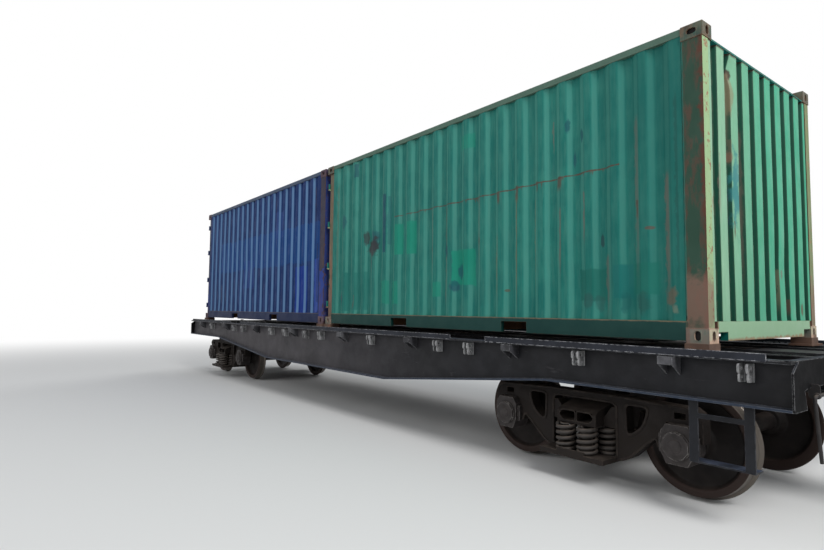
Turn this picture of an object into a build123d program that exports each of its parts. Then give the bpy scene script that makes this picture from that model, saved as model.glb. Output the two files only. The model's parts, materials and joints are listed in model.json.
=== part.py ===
from build123d import *
import os
from math import cos, pi, radians, sin

os.makedirs("parts", exist_ok=True)

# Four-axle flatcar carrying two twenty-foot containers. Millimetres, X along the car, Z up,
# origin on the centre line at the level of the wheel flange tips. Round pieces are turned or
# drawn with flat facets; the number of sides of each is named with its sizes.

# Wheels and axles: radii, and distances from the car's centre line
tread_radius = 465
flange_height = 28
flange_tip_inset = 12
flange_root_y = 760
wheel_back_y = 720
rim_width = 130
rim_depth = 68
tread_fall = 5
hub_radius = 135
hub_inner_y = 706
hub_web_y = 780
hub_outer_y = 892
web_thickness = 24
axle_body_radius = 84
guard_radius = 82
guard_end_y = 928
journal_radius = 65
journal_end_y = 1104
wheel_sides = 20
axle_sides = 8

# Bogies
bogie_centre_x = 4860
wheelbase = 1850
journal_y = 1018
side_frame_width = 130
frame_top_mid = 822
frame_top_end = 801
frame_bottom_z = 228
frame_nose_x = 1110
frame_nose_low = 523
frame_nose_top = 761
jaw_half = 140
jaw_lip_low = 440
jaw_roof_z = 661
jaw_slot_half = 48
jaw_slot_span = (700, 752)
column_face_x = 345
column_outer_x = 437
bolster_opening_top = 752
spring_seat_z = 273
shelf_half_width = 290
shelf_lip = 16
spring_height = 250
spring_radius = 100
spring_row_gap = 178
spring_pitch = 230
spring_sides = 6
bolster_end_y = 1208
bolster_half_width = 212
bolster_end_depth = 145
bolster_wall = 26
bolster_pocket_depth = 430
bolster_mid_low_z = 430
bolster_mid_top_z = 800
centre_plate_z = 834
centre_plate_radius = 150
centre_plate_play = 3
centre_plate_sides = 12
bowl_wall = 20
bowl_rim = 26
side_bearer_y = 762
side_bearer_gap = 8
box_half_width = 135
box_low_z = 338
box_body_end_y = 1150
box_face_y = 1180
box_cover_radius = 112
box_ear_half = 163
box_sides = 8
box_cover_sides = 10
running_gap = 0.3
shoe_gap = 6
shoe_thickness = 48
shoe_width = 76
shoe_middle_y = 806
shoe_half_angle = 20
brake_rod_radius = 14

# Underframe
frame_half_length = 6704
end_plate = 14
flange_edge_y = 1385
flange_width = 190
flange_thickness = 18
web_plate = 12
sill_top_z = 1254
sill_end_low_z = 916
sill_belly_low_z = 652
belly_half_length = 1950
belly_taper_end = 4635
spine_half_gap = 163
spine_half_width = 210
spine_end_low_z = 940
spine_belly_low_z = 700
spine_belly_half = 1500
spine_taper_end = 3300
bearer_pitch = 1080
bearer_top_z = 1134
bearer_flange = 150
bearer_plate = 12
bearer_lift = 30
body_bolster_half = 190
bolster_plate = 14
stringer_y = 600
stringer_flange = 64
stringer_plate = 9
end_sill_low_z = 1063
end_lip = 8
pocket_pitch = 1670
pocket_half = 60
pocket_wall = 10
pocket_reach_y = 1430
band_height = 57
band_low_z = 1246
band_thickness = 8
pedestal_half = 95
pedestal_foot = 20
spigot_height = 60
spigot_half = (45, 22)
step_plate_z = 446
step_rail_span = (781, 818)

# Couplers and draft gear
coupler_z = 1088
coupler_pivot_x = 6300
shank_half_width = 65
shank_half_height = 87
head_half_height = 150
striker_depth = 86

# Train pipe and brake rigging under the body
pipe_y = 290
pipe_z = 890
pipe_radius = 21
cylinder_radius = 178
cylinder_length = 420
reservoir_radius = 150
brake_axis_y = 620
brake_axis_z = 920

# Containers
container_length = 6058
container_width = 2438
container_height = 2591
container_low_z = 1338
container_gap = 76
casting_length = 178
casting_width = 162
casting_height = 118
aperture_half = (26, 40)
aperture_depth = 24
post_depth = 175
post_width = 110
post_plate = 10
rail_depth = 60
face_inset = 6
header_setback = 90
header_cap = 8
lower_rail_span = (16, 174)
end_notch_y = 870
end_notch_z = 88
wall_ribs = 20
wall_pitch = 278
wall_flat = 72
wall_slope = 68
wall_depth = 36
sheet = 3
pocket_x = 1025
pocket_length = 352
pocket_height = 131
floor_span = (146, 174)
cross_member_pitch = 480
cross_member_half = 22
door_side_inset = 31
door_post_inset = 40
door_sill_inset = 50
door_face_inset = 55
door_thickness = 46
door_gap = 6
door_rib_depth = 30
hinge_inset_x = 22
hinge_inset_y = 14
hinge_height = 90
hinge_radius = 12
hinge_heights = (330, 960, 1640, 2270)
bar_inset = 28
bar_radius = 16
# lock bars of one door leaf: distance from the middle, handle height
lock_bars = ((230, 1080), (840, 1210))

wheel_z = tread_radius + flange_height
frame_y_low = journal_y - side_frame_width / 2
frame_y_high = journal_y + side_frame_width / 2
jaw_x = wheelbase / 2
spring_top_z = spring_seat_z + spring_height
side_mid_y = flange_edge_y - flange_width / 2
side_web_in = side_mid_y - web_plate / 2
side_web_out = side_mid_y + web_plate / 2
spine_web_out = spine_half_gap + web_plate
sill_end_x = frame_half_length - end_plate
under_flange = sill_top_z - flange_thickness


def finish(piece, name):
    # labels a finished piece and writes it to its own file
    piece.part.label = name
    export_step(piece.part, "parts/" + name + ".step")


def block(x_span, y_span, z_span, mode=Mode.ADD):
    # a rectangular bar or plate between two X, two Y and two Z values
    middle = (sum(x_span) / 2, sum(y_span) / 2, sum(z_span) / 2)
    with Locations(middle):
        Box(abs(x_span[1] - x_span[0]), abs(y_span[1] - y_span[0]), abs(z_span[1] - z_span[0]), mode=mode)


def plate(plane, outline, thickness, mode=Mode.ADD, corner_cut=0):
    # a plate of the given outline, half its thickness on each side of the plane
    with BuildSketch(plane) as face:
        with BuildLine():
            Polyline(*outline, close=True)
        make_face()
        if corner_cut:
            chamfer(face.vertices(), corner_cut)
    extrude(to_extrude=face.sketch, amount=thickness / 2, both=True, mode=mode)


def across(y, x=0, z=0):
    # plane facing across the car at Y = y, its own axes along X and Z
    return Plane(origin=(x, y, z), x_dir=(1, 0, 0), z_dir=(0, -1, 0))


def lengthwise(x, y=0, z=0):
    # plane facing along the car at X = x, its own axes along Y and Z
    return Plane(origin=(x, y, z), x_dir=(0, 1, 0), z_dir=(1, 0, 0))


def bar(start, end, radius, sides=6, mode=Mode.ADD, flats=False):
    # a straight bar between two points; the radius reaches its corners, or its flats, which a bore
    # turns towards the corners of what runs in it
    run = Vector(*end) - Vector(*start)
    with BuildSketch(Plane(origin=start, z_dir=run)) as section:
        RegularPolygon(radius, sides, major_radius=not flats, rotation=180 / sides if flats else 0)
    extrude(to_extrude=section.sketch, amount=run.length, mode=mode)


def turned(profile, sides, origin, axis, core=12):
    # a faceted turned body: the profile's points are radius and distance along the axis; where it
    # reaches the axis a thin core fills the middle
    line = Vector(*axis)
    side = Vector(0, 0, 1).cross(line)
    solid_middle = min(radius for radius, run in profile) == 0
    with BuildPart() as body:
        for k in range(sides // 2 + 1):
            angle = 2 * pi * k / sides
            out = side * cos(angle) + Vector(0, 0, 1) * sin(angle)
            with BuildSketch(Plane(origin=origin, x_dir=out, z_dir=out.cross(line))):
                with BuildLine():
                    Polyline(*[(max(radius, core), run) for radius, run in profile], close=True)
                make_face()
        loft(ruled=True)
        mirror(about=Plane(origin=origin, z_dir=(0, 0, 1)))
        if solid_middle:
            with BuildSketch(Plane(origin=origin, x_dir=side, z_dir=line).offset(profile[0][1])):
                RegularPolygon(core, sides)
            extrude(amount=profile[-1][1] - profile[0][1])
    return body


def both_halves(half):
    # closes a half outline with its mirror image, without repeating the points on the middle line
    return half + [(-x, z) for x, z in reversed(half) if x != 0]


def fish_belly(x, belly_half, taper_end, belly_low, end_low):
    # height of a fish-bellied beam's lower face at X = x
    share = (abs(x) - belly_half) / (taper_end - belly_half)
    share = min(max(share, 0), 1)
    return belly_low + share * (end_low - belly_low)


def sill_low(x):
    return fish_belly(x, belly_half_length, belly_taper_end, sill_belly_low_z, sill_end_low_z)


def spine_low(x):
    return fish_belly(x, spine_belly_half, spine_taper_end, spine_belly_low_z, spine_end_low_z)


def beam_outline(half_length, kinks, low, inset=0):
    # outline of a fish-bellied beam in X and Z, set in from its faces by the inset
    xs = [-half_length, -kinks[1], -kinks[0], kinks[0], kinks[1], half_length]
    lower = [(x, low(x) + inset) for x in xs]
    return lower + [(half_length, sill_top_z - inset), (-half_length, sill_top_z - inset)]


def ribbed(start, end, count, pitch, outer_flat, slope, depth, thickness):
    # outline of a panel with a count of trapezoid grooves in its face: run along the first axis,
    # depth in the second, flat behind; what is left over is shared by the flats at the two ends
    end_flat = (end - start - count * pitch + outer_flat) / 2
    inner_flat = pitch - outer_flat - 2 * slope
    points = [(start, 0)]
    for k in range(count):
        left = start + end_flat + k * pitch
        points += [(left, 0), (left + slope, -depth), (left + slope + inner_flat, -depth),
                   (left + 2 * slope + inner_flat, 0)]
    return points + [(end, 0), (end, -depth - thickness), (start, -depth - thickness)]


# Side sills: fish-bellied I-beams, the web in the middle of the flanges
side_kinks = (belly_half_length, belly_taper_end)
side_bay = (flange_width - web_plate) / 2
for side, sign in (("left", 1), ("right", -1)):
    with BuildPart() as side_sill:
        plate(across(sign * side_mid_y), beam_outline(sill_end_x, side_kinks, sill_low), flange_width)
        inner = beam_outline(sill_end_x, side_kinks, sill_low, flange_thickness)
        for bay in (-1, 1):
            bay_y = sign * side_mid_y + bay * (web_plate + side_bay) / 2
            plate(across(bay_y), inner, side_bay, Mode.SUBTRACT)
    finish(side_sill, "side_sill_" + side)

# Centre sill: two webs under a cover plate, closed below, open at both ends
spine_kinks = (spine_belly_half, spine_taper_end)
spine_shoulder = spine_half_width - spine_web_out
with BuildPart() as centre_sill:
    plate(across(0), beam_outline(sill_end_x, spine_kinks, spine_low), 2 * spine_half_width)
    spine_inner = beam_outline(sill_end_x, spine_kinks, spine_low, flange_thickness)
    plate(across(0), spine_inner, 2 * spine_half_gap, Mode.SUBTRACT)
    for sign in (-1, 1):
        plate(across(sign * (spine_web_out + spine_shoulder / 2)), spine_inner, spine_shoulder, Mode.SUBTRACT)
finish(centre_sill, "centre_sill")

# End sills: a plate over the ends of the sills, a window for the coupler and a lip on the deck
end_leg_in = 1144
end_haunch = (1185, 1050)
end_arch_y = 1120
end_hood_y = 420
end_hood_inner_y = 300
end_top_y = 1284
end_lip_width = 64
gusset_length = 144
with BuildPart() as end_sills:
    end_half = [(0, spine_end_low_z), (end_hood_inner_y, spine_end_low_z), (end_hood_y, end_sill_low_z),
                (end_arch_y, end_sill_low_z), end_haunch, (end_leg_in, sill_end_low_z),
                (flange_edge_y, sill_end_low_z), (flange_edge_y, sill_top_z - 70), (end_top_y, sill_top_z),
                (0, sill_top_z)]
    plate(lengthwise(frame_half_length - end_plate / 2), both_halves(end_half), end_plate)
    lip_half = [(0, frame_half_length - end_lip_width), (-end_top_y + 44, frame_half_length - end_lip_width),
                (-flange_edge_y, frame_half_length - gusset_length), (-flange_edge_y, sill_end_x),
                (-end_top_y, frame_half_length), (0, frame_half_length)]
    deck = Plane(origin=(0, 0, sill_top_z + end_lip / 2), x_dir=(0, -1, 0), z_dir=(0, 0, 1))
    plate(deck, both_halves(lip_half), end_lip)
    block((sill_end_x, frame_half_length), (-spine_half_gap, spine_half_gap),
          (spine_end_low_z + flange_thickness, under_flange), Mode.SUBTRACT)
    mirror(about=Plane.YZ)
finish(end_sills, "end_sills")

# Body bolsters: box beams over the bogies, with the upper centre plate and side bearers
bolster_low_z = spine_end_low_z + flange_thickness
side_bearer_z = bolster_low_z - 84
side_bearer_half = 90
with BuildPart() as body_bolsters:
    beam_y = (spine_web_out, side_web_in)
    bearing_y = (side_bearer_y - 110, side_bearer_y + 110)
    block((bogie_centre_x - body_bolster_half, bogie_centre_x + body_bolster_half), beam_y,
          (bolster_low_z, under_flange))
    box_half = body_bolster_half - bolster_plate
    block((bogie_centre_x - box_half, bogie_centre_x + box_half), beam_y,
          (bolster_low_z + bolster_plate, under_flange - bolster_plate), Mode.SUBTRACT)
    block((bogie_centre_x - side_bearer_half, bogie_centre_x + side_bearer_half), bearing_y,
          (side_bearer_z, bolster_low_z))
    mirror(about=Plane.XZ)
    bar((bogie_centre_x, 0, centre_plate_z), (bogie_centre_x, 0, spine_end_low_z), centre_plate_radius,
        centre_plate_sides)
    bar((bogie_centre_x, 0, spine_end_low_z - 36), (bogie_centre_x, 0, spine_end_low_z),
        centre_plate_radius + 55, centre_plate_sides)
    mirror(about=Plane.YZ)
finish(body_bolsters, "body_bolsters")


def bearer_low(x0, y):
    # height of a cross bearer's lower face: straight from the centre sill out to the side sill
    share = (y - spine_web_out) / (side_web_in - spine_web_out)
    inner_z = spine_low(x0) + flange_thickness
    outer_z = sill_low(x0) + flange_thickness
    return inner_z + share * (outer_z - inner_z) + bearer_lift


# Cross bearers between the sills: webs on a lower flange, deeper under the belly
bearer_places = [k * bearer_pitch for k in range(-3, 4)]
web_half = 5
with BuildPart() as cross_bearers:
    for x0 in bearer_places:
        with BuildPart(mode=Mode.PRIVATE) as bearer:
            for y in (spine_web_out, side_web_in):
                low = bearer_low(x0, y)
                half = [(0, low), (bearer_flange / 2, low), (bearer_flange / 2, low + bearer_plate),
                        (web_half, low + bearer_plate), (web_half, bearer_top_z), (0, bearer_top_z)]
                with BuildSketch(across(y, x0)):
                    with BuildLine():
                        Polyline(*both_halves(half)[1:], close=True)
                    make_face()
            loft(ruled=True)
        add(bearer.part)
    mirror(about=Plane.XZ)
    hole = pipe_radius + running_gap
    block((-4 * bearer_pitch, 4 * bearer_pitch), (pipe_y - hole, pipe_y + hole),
          (pipe_z - hole, pipe_z + hole), Mode.SUBTRACT)
finish(cross_bearers, "cross_bearers")

# Stringers: channels along the car, resting on the cross bearers
bolster_in_x = bogie_centre_x - body_bolster_half
bolster_out_x = bogie_centre_x + body_bolster_half
stringer_depth = sill_top_z - bearer_top_z
stringer_web = stringer_depth - stringer_plate
stringer_runs = ((-sill_end_x, -bolster_out_x), (-bolster_in_x, bolster_in_x), (bolster_out_x, sill_end_x))
with BuildPart() as stringers:
    for x_start, x_end in stringer_runs:
        with BuildSketch(lengthwise(x_start, stringer_y, bearer_top_z)) as section:
            with BuildLine():
                Polyline((0, 0), (stringer_flange, 0), (stringer_flange, stringer_plate),
                         (stringer_plate, stringer_plate), (stringer_plate, stringer_web),
                         (stringer_flange, stringer_web), (stringer_flange, stringer_depth),
                         (0, stringer_depth), close=True)
            make_face()
        extrude(to_extrude=section.sketch, amount=x_end - x_start)
    mirror(about=Plane.XZ)
finish(stringers, "stringers")

# Deck edge bands: angle bars along the outer edges of the side sills, with a gap at each end
band_runs = ((-6543, -3850), (-3290, 3290), (3850, 6543))
band_foot = 40
band_high_z = band_low_z + band_height
with BuildPart() as deck_edges:
    for x_start, x_end in band_runs:
        with BuildSketch(lengthwise(x_start, flange_edge_y)) as section:
            with BuildLine():
                Polyline((0, band_low_z), (band_thickness, band_low_z), (band_thickness, band_high_z),
                         (0, band_high_z), (0, sill_top_z + band_thickness),
                         (-band_foot, sill_top_z + band_thickness), (-band_foot, sill_top_z),
                         (0, sill_top_z), close=True)
            make_face()
        extrude(to_extrude=section.sketch, amount=x_end - x_start)
    mirror(about=Plane.XZ)
finish(deck_edges, "deck_edges")

# Stake pockets: two cheeks and a front wall on the web of each side sill
pocket_nose_z = under_flange - 60
pocket_root_z = under_flange - 150
with BuildPart() as stake_pockets:
    cheek = [(side_web_out, under_flange), (pocket_reach_y, under_flange), (pocket_reach_y, pocket_nose_z),
             (side_web_out, pocket_root_z)]
    plate(lengthwise(pocket_pitch / 2), cheek, 2 * pocket_half)
    throat = [(side_web_out, under_flange), (pocket_reach_y - pocket_wall, under_flange),
              (pocket_reach_y - pocket_wall, pocket_root_z), (side_web_out, pocket_root_z)]
    plate(lengthwise(pocket_pitch / 2), throat, 2 * (pocket_half - pocket_wall), Mode.SUBTRACT)
    mirror(about=Plane.XZ)
    pocket = stake_pockets.part
with BuildPart() as stake_pockets:
    with Locations(*[(k * pocket_pitch, 0, 0) for k in range(-4, 4)]):
        add(pocket)
finish(stake_pockets, "stake_pockets")

# Lashing lugs: pairs of ribs on the web of each side sill
lug_places = (-5180, -3740, -3210, -1790, -1190, -400, 130, 1570, 3010, 3540, 4985, 6390)
lug_half = 37
lug_rib = 14
lug_top_z = under_flange - 12
lug_face_y = flange_edge_y + 10
lug_face_height = 83
lug_root_height = 138
with BuildPart() as lug:
    rib = [(side_web_out, lug_top_z), (lug_face_y, lug_top_z), (lug_face_y, lug_top_z - lug_face_height),
           (side_web_out, lug_top_z - lug_root_height)]
    plate(lengthwise(0), rib, 2 * lug_half)
    block((-lug_half + lug_rib, lug_half - lug_rib), (side_web_out, lug_face_y),
          (lug_top_z - lug_root_height, lug_top_z), Mode.SUBTRACT)
    mirror(about=Plane.XZ)
with BuildPart() as side_lugs:
    with Locations(*[(x, 0, 0) for x in lug_places]):
        add(lug.part)
finish(side_lugs, "side_lugs")

# Fitting plates: pedestals on the side sills with a spigot for each container corner
container_offset = (container_length + container_gap) / 2
container_centres = {"blue": -container_offset, "green": container_offset}
corner_x = container_length / 2 - casting_length / 2
corner_y = container_width / 2 - casting_width / 2
foot_z = sill_top_z + pedestal_foot
with BuildPart() as pedestal:
    block((-pedestal_half - 10, pedestal_half + 10), (corner_y - 120, flange_edge_y - band_foot - 5),
          (sill_top_z, foot_z))
    block((-pedestal_half, pedestal_half), (corner_y - 90, corner_y + 100), (foot_z, container_low_z))
    block((-spigot_half[0], spigot_half[0]), (corner_y - spigot_half[1], corner_y + spigot_half[1]),
          (container_low_z, container_low_z + spigot_height))
    mirror(about=Plane.XZ)
with BuildPart() as fitting_plates:
    corners = [(centre + end * corner_x, 0, 0) for centre in container_centres.values() for end in (-1, 1)]
    with Locations(*corners):
        add(pedestal.part)
finish(fitting_plates, "fitting_plates")

# Corner steps: a cage of flat bars and a tread, hung from the side sill at two opposite corners
step_span = (5980, 6440)
step_bar_width = 68
step_bar_thickness = 12
step_y = -1330
step_depth = 126
with BuildPart() as corner_steps:
    outline = [(step_span[0], sill_end_low_z), (step_span[1], sill_end_low_z), (step_span[1], step_plate_z),
               (step_span[0], step_plate_z)]
    plate(across(step_y), outline, step_bar_thickness)
    opening = (step_span[0] + step_bar_width, step_span[1] - step_bar_width)
    plate_y = (step_y - step_bar_thickness, step_y + step_bar_thickness)
    block(opening, plate_y, (step_plate_z + step_bar_thickness, step_rail_span[0]), Mode.SUBTRACT)
    block(opening, plate_y, (step_rail_span[1], sill_end_low_z), Mode.SUBTRACT)
    block(step_span, (step_y - step_bar_thickness / 2, step_y + step_depth),
          (step_plate_z, step_plate_z + step_bar_thickness))
    add(corner_steps.part.rotate(Axis.Z, 180))
finish(corner_steps, "corner_steps")

# Brake cylinder: carried by the web of a cross bearer, with its end cover and push rod
cylinder_x = -bearer_pitch + web_half
cylinder_end = cylinder_length
cylinder = turned([(0, 0), (cylinder_radius, 0), (cylinder_radius, cylinder_end - 24),
                   (cylinder_radius + 14, cylinder_end - 24), (cylinder_radius + 14, cylinder_end),
                   (95, cylinder_end + 55), (95, cylinder_end + 80), (26, cylinder_end + 80),
                   (26, cylinder_end + 230), (0, cylinder_end + 230)], 12,
                  (cylinder_x, brake_axis_y, brake_axis_z), (1, 0, 0))
finish(cylinder, "brake_cylinder")

# Air reservoir: a tank with domed ends between two cross bearers
tank_run = bearer_pitch - 2 * web_half
tank_neck = 70
reservoir_half = [(0, 0), (40, 0), (40, tank_neck), (110, tank_neck + 15), (reservoir_radius, tank_neck + 60)]
reservoir = turned(reservoir_half + [(r, tank_run - x) for r, x in reversed(reservoir_half)], 12,
                   (web_half, -brake_axis_y, brake_axis_z), (1, 0, 0))
finish(reservoir, "air_reservoir")

# Air distributor: a valve body between two chambers on its bracket
with BuildPart() as air_distributor:
    valve_x = bearer_pitch + web_half
    block((valve_x, valve_x + 60), (-brake_axis_y - 60, -brake_axis_y + 60), (820, 1040))
    block((valve_x + 60, valve_x + 190), (-brake_axis_y - 75, -brake_axis_y + 75), (850, 1000))
    bar((valve_x + 125, -brake_axis_y - 165, 925), (valve_x + 125, -brake_axis_y + 165, 925), 62, 8)
finish(air_distributor, "air_distributor")

# Draft pockets: striker castings on the end sills with a carrier under the coupler shank
striker_half = 250
striker_window = 120
striker_low_z = coupler_z - 200
striker_top_z = coupler_z + 165
with BuildPart() as draft_pockets:
    striker_x = (frame_half_length, frame_half_length + striker_depth)
    striker_mid = frame_half_length + striker_depth / 2
    face = [(-striker_half, striker_low_z), (striker_half, striker_low_z), (striker_half, striker_top_z),
            (-striker_half, striker_top_z)]
    plate(lengthwise(striker_mid), face, striker_depth, corner_cut=46)
    block(striker_x, (-spine_half_gap, spine_half_gap),
          (coupler_z - shank_half_height - running_gap, coupler_z + striker_window), Mode.SUBTRACT)
    mirror(about=Plane.YZ)
finish(draft_pockets, "draft_pockets")

# Draft gear: one plain block in each end of the centre sill
with BuildPart() as draft_gear:
    block((5600, coupler_pivot_x - 110), (-120, 120), (spine_end_low_z + flange_thickness, coupler_z + 110))
    mirror(about=Plane.YZ)
finish(draft_gear, "draft_gear")

# Couplers: a shank and a claw head with its large and small teeth and the lock between them
coupler_level = Plane(origin=(0, 0, coupler_z), x_dir=(1, 0, 0), z_dir=(0, 0, 1))
with BuildPart() as coupler:
    shank = [(coupler_pivot_x - 90, -shank_half_width), (7000, -shank_half_width), (7000, shank_half_width),
             (coupler_pivot_x - 90, shank_half_width)]
    plate(coupler_level, shank, 2 * shank_half_height)
    head = [(6965, -95), (7040, -185), (7235, -215), (7372, -186), (7400, -150), (7396, -104), (7300, -70),
            (7236, 6), (7228, 84), (7262, 116), (7306, 124), (7318, 166), (7276, 216), (7090, 200),
            (6965, 95)]
    plate(coupler_level, head, 2 * head_half_height)
    # the teeth stand above and below the throat
    throat = [(7175, -40), (7420, -40), (7420, 300), (7175, 300)]
    for level in (-1, 1):
        cut = Plane(origin=(0, 0, coupler_z + level * head_half_height), x_dir=(1, 0, 0), z_dir=(0, 0, 1))
        plate(cut, throat, 70, Mode.SUBTRACT)
    block((7200, 7272), (8, 74), (coupler_z - 62, coupler_z + 62))
    block((7050, 7120), (-130, -70), (coupler_z + head_half_height, coupler_z + head_half_height + 34))
finish(coupler, "coupler_front")
with BuildPart() as rear_coupler:
    add(coupler.part.rotate(Axis.Z, 180))
finish(rear_coupler, "coupler_rear")

# Uncoupling levers: a bar along each end sill with a hanging handle, in two brackets
lever_x = frame_half_length + 36
lever_z = 1010
lever_radius = 12
lever_bends = [(-270, lever_z + 60), (-330, lever_z), (-1124, lever_z), (-1021, 545)]
with BuildPart() as uncoupling_levers:
    for start, end in zip(lever_bends, lever_bends[1:]):
        bar((lever_x, *start), (lever_x, *end), lever_radius, 4)
    for y in (-400, -1060):
        block((frame_half_length, lever_x + 20), (y - 6, y + 6), (lever_z - 20, end_sill_low_z + 30))
    add(uncoupling_levers.part.rotate(Axis.Z, 180))
finish(uncoupling_levers, "uncoupling_levers")

# Train pipe: along the car beside the centre sill, with an angle cock at each end
pipe_end_x = 6760
with BuildPart() as train_pipe:
    bar((-pipe_end_x, pipe_y, pipe_z), (pipe_end_x, pipe_y, pipe_z), pipe_radius, 8)
    for end in (-1, 1):
        bar((end * pipe_end_x, pipe_y, pipe_z - 10), (end * (pipe_end_x + 80), pipe_y, pipe_z + 20),
            pipe_radius + 13)
        block((end * (pipe_end_x + 20), end * (pipe_end_x + 50)), (pipe_y - 8, pipe_y + 8),
              (pipe_z, pipe_z + 75))
finish(train_pipe, "train_pipe")

# Brake rods: the main pull rods, under the lower flanges of the cross bearers
rod_y = 260
rod_z = bearer_low(0, rod_y) - brake_rod_radius - 1
guide_x = 2 * bearer_pitch
with BuildPart() as brake_rods:
    bar((400, rod_y, rod_z), (3350, rod_y, rod_z), brake_rod_radius)
    block((guide_x - 20, guide_x + 20), (rod_y - 20, rod_y + 20),
          (rod_z, bearer_low(guide_x, rod_y + 20) - 2))
    mirror(about=Plane.YZ)
finish(brake_rods, "brake_rods")

# Side frames: one-piece castings with a window on each side of the bolster opening, a jaw over
# each axle box and a shelf for the spring nest; drawn about the middle of their own bogie
jaw_in_x = jaw_x - jaw_half
jaw_out_x = jaw_x + jaw_half
frame_half = [(0, frame_bottom_z), (300, frame_bottom_z), (400, 250), (480, 292), (716, 506),
              (735, jaw_lip_low), (jaw_in_x, jaw_lip_low), (jaw_in_x, jaw_roof_z - 40),
              (jaw_in_x + 25, jaw_roof_z), (jaw_out_x - 25, jaw_roof_z), (jaw_out_x, jaw_roof_z - 40),
              (jaw_out_x, frame_nose_low), (frame_nose_x, frame_nose_low), (frame_nose_x, 700),
              (frame_nose_x - 22, frame_nose_top), (1030, frame_top_end), (560, 816), (420, frame_top_mid),
              (0, frame_top_mid)]
frame_window = [(column_outer_x, 758), (640, 758), (640, 700), (598, 583), (500, 501),
                (column_outer_x + 10, 501)]
opening_half = [(0, spring_seat_z), (column_face_x, spring_seat_z), (column_face_x, bolster_opening_top - 34),
                (column_face_x - 34, bolster_opening_top), (0, bolster_opening_top)]
with BuildPart() as side_frame:
    face = across(journal_y)
    plate(face, both_halves(frame_half), side_frame_width)
    block((-column_face_x, column_face_x), (journal_y - shelf_half_width, journal_y + shelf_half_width),
          (frame_bottom_z, spring_seat_z))
    for edge in (-1, 1):
        lip_y = journal_y + edge * (shelf_half_width - shelf_lip)
        block((-150, 150), (lip_y, journal_y + edge * shelf_half_width), (spring_seat_z, spring_seat_z + 30))
    plate(face, both_halves(opening_half), side_frame_width, Mode.SUBTRACT)
    for half in (-1, 1):
        plate(face, [(half * x, z) for x, z in frame_window], side_frame_width, Mode.SUBTRACT, corner_cut=16)
        block((half * (jaw_x - jaw_slot_half), half * (jaw_x + jaw_slot_half)), (frame_y_low, frame_y_high),
              jaw_slot_span, Mode.SUBTRACT)

# Bolster: a box casting with two pockets in each end, the centre bowl, side bearers and wedges
bowl_low_z = centre_plate_z - running_gap
bowl_radius = centre_plate_radius + centre_plate_play
bolster_end_top = spring_top_z + bolster_end_depth
pocket_low_z = spring_top_z + bolster_wall
pocket_high_z = bolster_end_top - bolster_wall
pocket_rib_half = 9
pocket_out_x = bolster_half_width - bolster_wall
with BuildPart() as bolster:
    half = [(0, bolster_mid_low_z), (480, bolster_mid_low_z), (740, spring_top_z),
            (bolster_end_y, spring_top_z), (bolster_end_y, bolster_end_top - 40),
            (bolster_end_y - 60, bolster_end_top),
            (930, spring_top_z + 200), (520, bolster_mid_top_z), (0, bolster_mid_top_z)]
    plate(lengthwise(0), both_halves(half), 2 * bolster_half_width)
    bar((0, 0, bolster_mid_top_z), (0, 0, centre_plate_z + bowl_rim), bowl_radius + bowl_wall,
        centre_plate_sides, flats=True)
    bar((0, 0, bowl_low_z), (0, 0, centre_plate_z + bowl_rim), bowl_radius, centre_plate_sides,
        Mode.SUBTRACT, flats=True)
    for sign in (-1, 1):
        block((-100, 100), (sign * (side_bearer_y - 70), sign * (side_bearer_y + 70)),
              (700, side_bearer_z - side_bearer_gap))
        for edge in (-1, 1):
            pocket = [(edge * pocket_rib_half, pocket_low_z), (edge * (pocket_out_x - 44), pocket_low_z),
                      (edge * pocket_out_x, pocket_low_z + 40), (edge * pocket_out_x, pocket_high_z - 36),
                      (edge * (pocket_out_x - 30), pocket_high_z), (edge * pocket_rib_half, pocket_high_z)]
            plate(across(sign * bolster_end_y), pocket, 2 * bolster_pocket_depth, Mode.SUBTRACT)
            wedge = [(edge * (bolster_half_width + running_gap), spring_top_z),
                     (edge * (column_face_x - running_gap), spring_top_z),
                     (edge * (column_face_x - running_gap), bolster_opening_top - 40),
                     (edge * (column_face_x - 50), bolster_opening_top - 40),
                     (edge * (bolster_half_width + running_gap), spring_top_z + 80)]
            plate(across(sign * journal_y), wedge, side_frame_width)

# Springs: seven in each nest between the shelf and the bolster
nest = [(along * spring_pitch / 2, row * spring_row_gap) for along in (-1, 1) for row in (-1, 1)]
nest += [(along * spring_pitch, 0) for along in (-1, 0, 1)]
with BuildPart() as springs:
    for dx, dy in nest:
        for sign in (-1, 1):
            foot = (dx, sign * journal_y + dy, spring_seat_z)
            bar(foot, (foot[0], foot[1], spring_top_z), spring_radius, spring_sides)

# Axle boxes: a housing in each jaw, bored for the journal, with ears and a round cover
with BuildPart() as axle_box:
    box_x = jaw_x
    body = [(-box_half_width, 430), (-88, box_low_z), (88, box_low_z), (box_half_width, 430),
            (box_half_width, 600), (90, jaw_roof_z), (-90, jaw_roof_z), (-box_half_width, 600)]
    plate(across((guard_end_y + 10 + box_body_end_y) / 2, box_x), body, box_body_end_y - guard_end_y - 10)
    ears = [(-box_ear_half, 420), (box_ear_half, 420), (box_ear_half, 575), (-box_ear_half, 575)]
    plate(across(frame_y_high + 22, box_x), ears, 36)
    bar((box_x, box_body_end_y, wheel_z), (box_x, box_face_y, wheel_z), box_cover_radius,
        box_cover_sides)
    bar((box_x, guard_end_y, wheel_z), (box_x, journal_end_y + 12, wheel_z), journal_radius + running_gap,
        box_sides, Mode.SUBTRACT, flats=True)
with BuildPart() as axle_boxes:
    add(axle_box.part)
    mirror(about=Plane.XZ)
    mirror(about=Plane.YZ)

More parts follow.
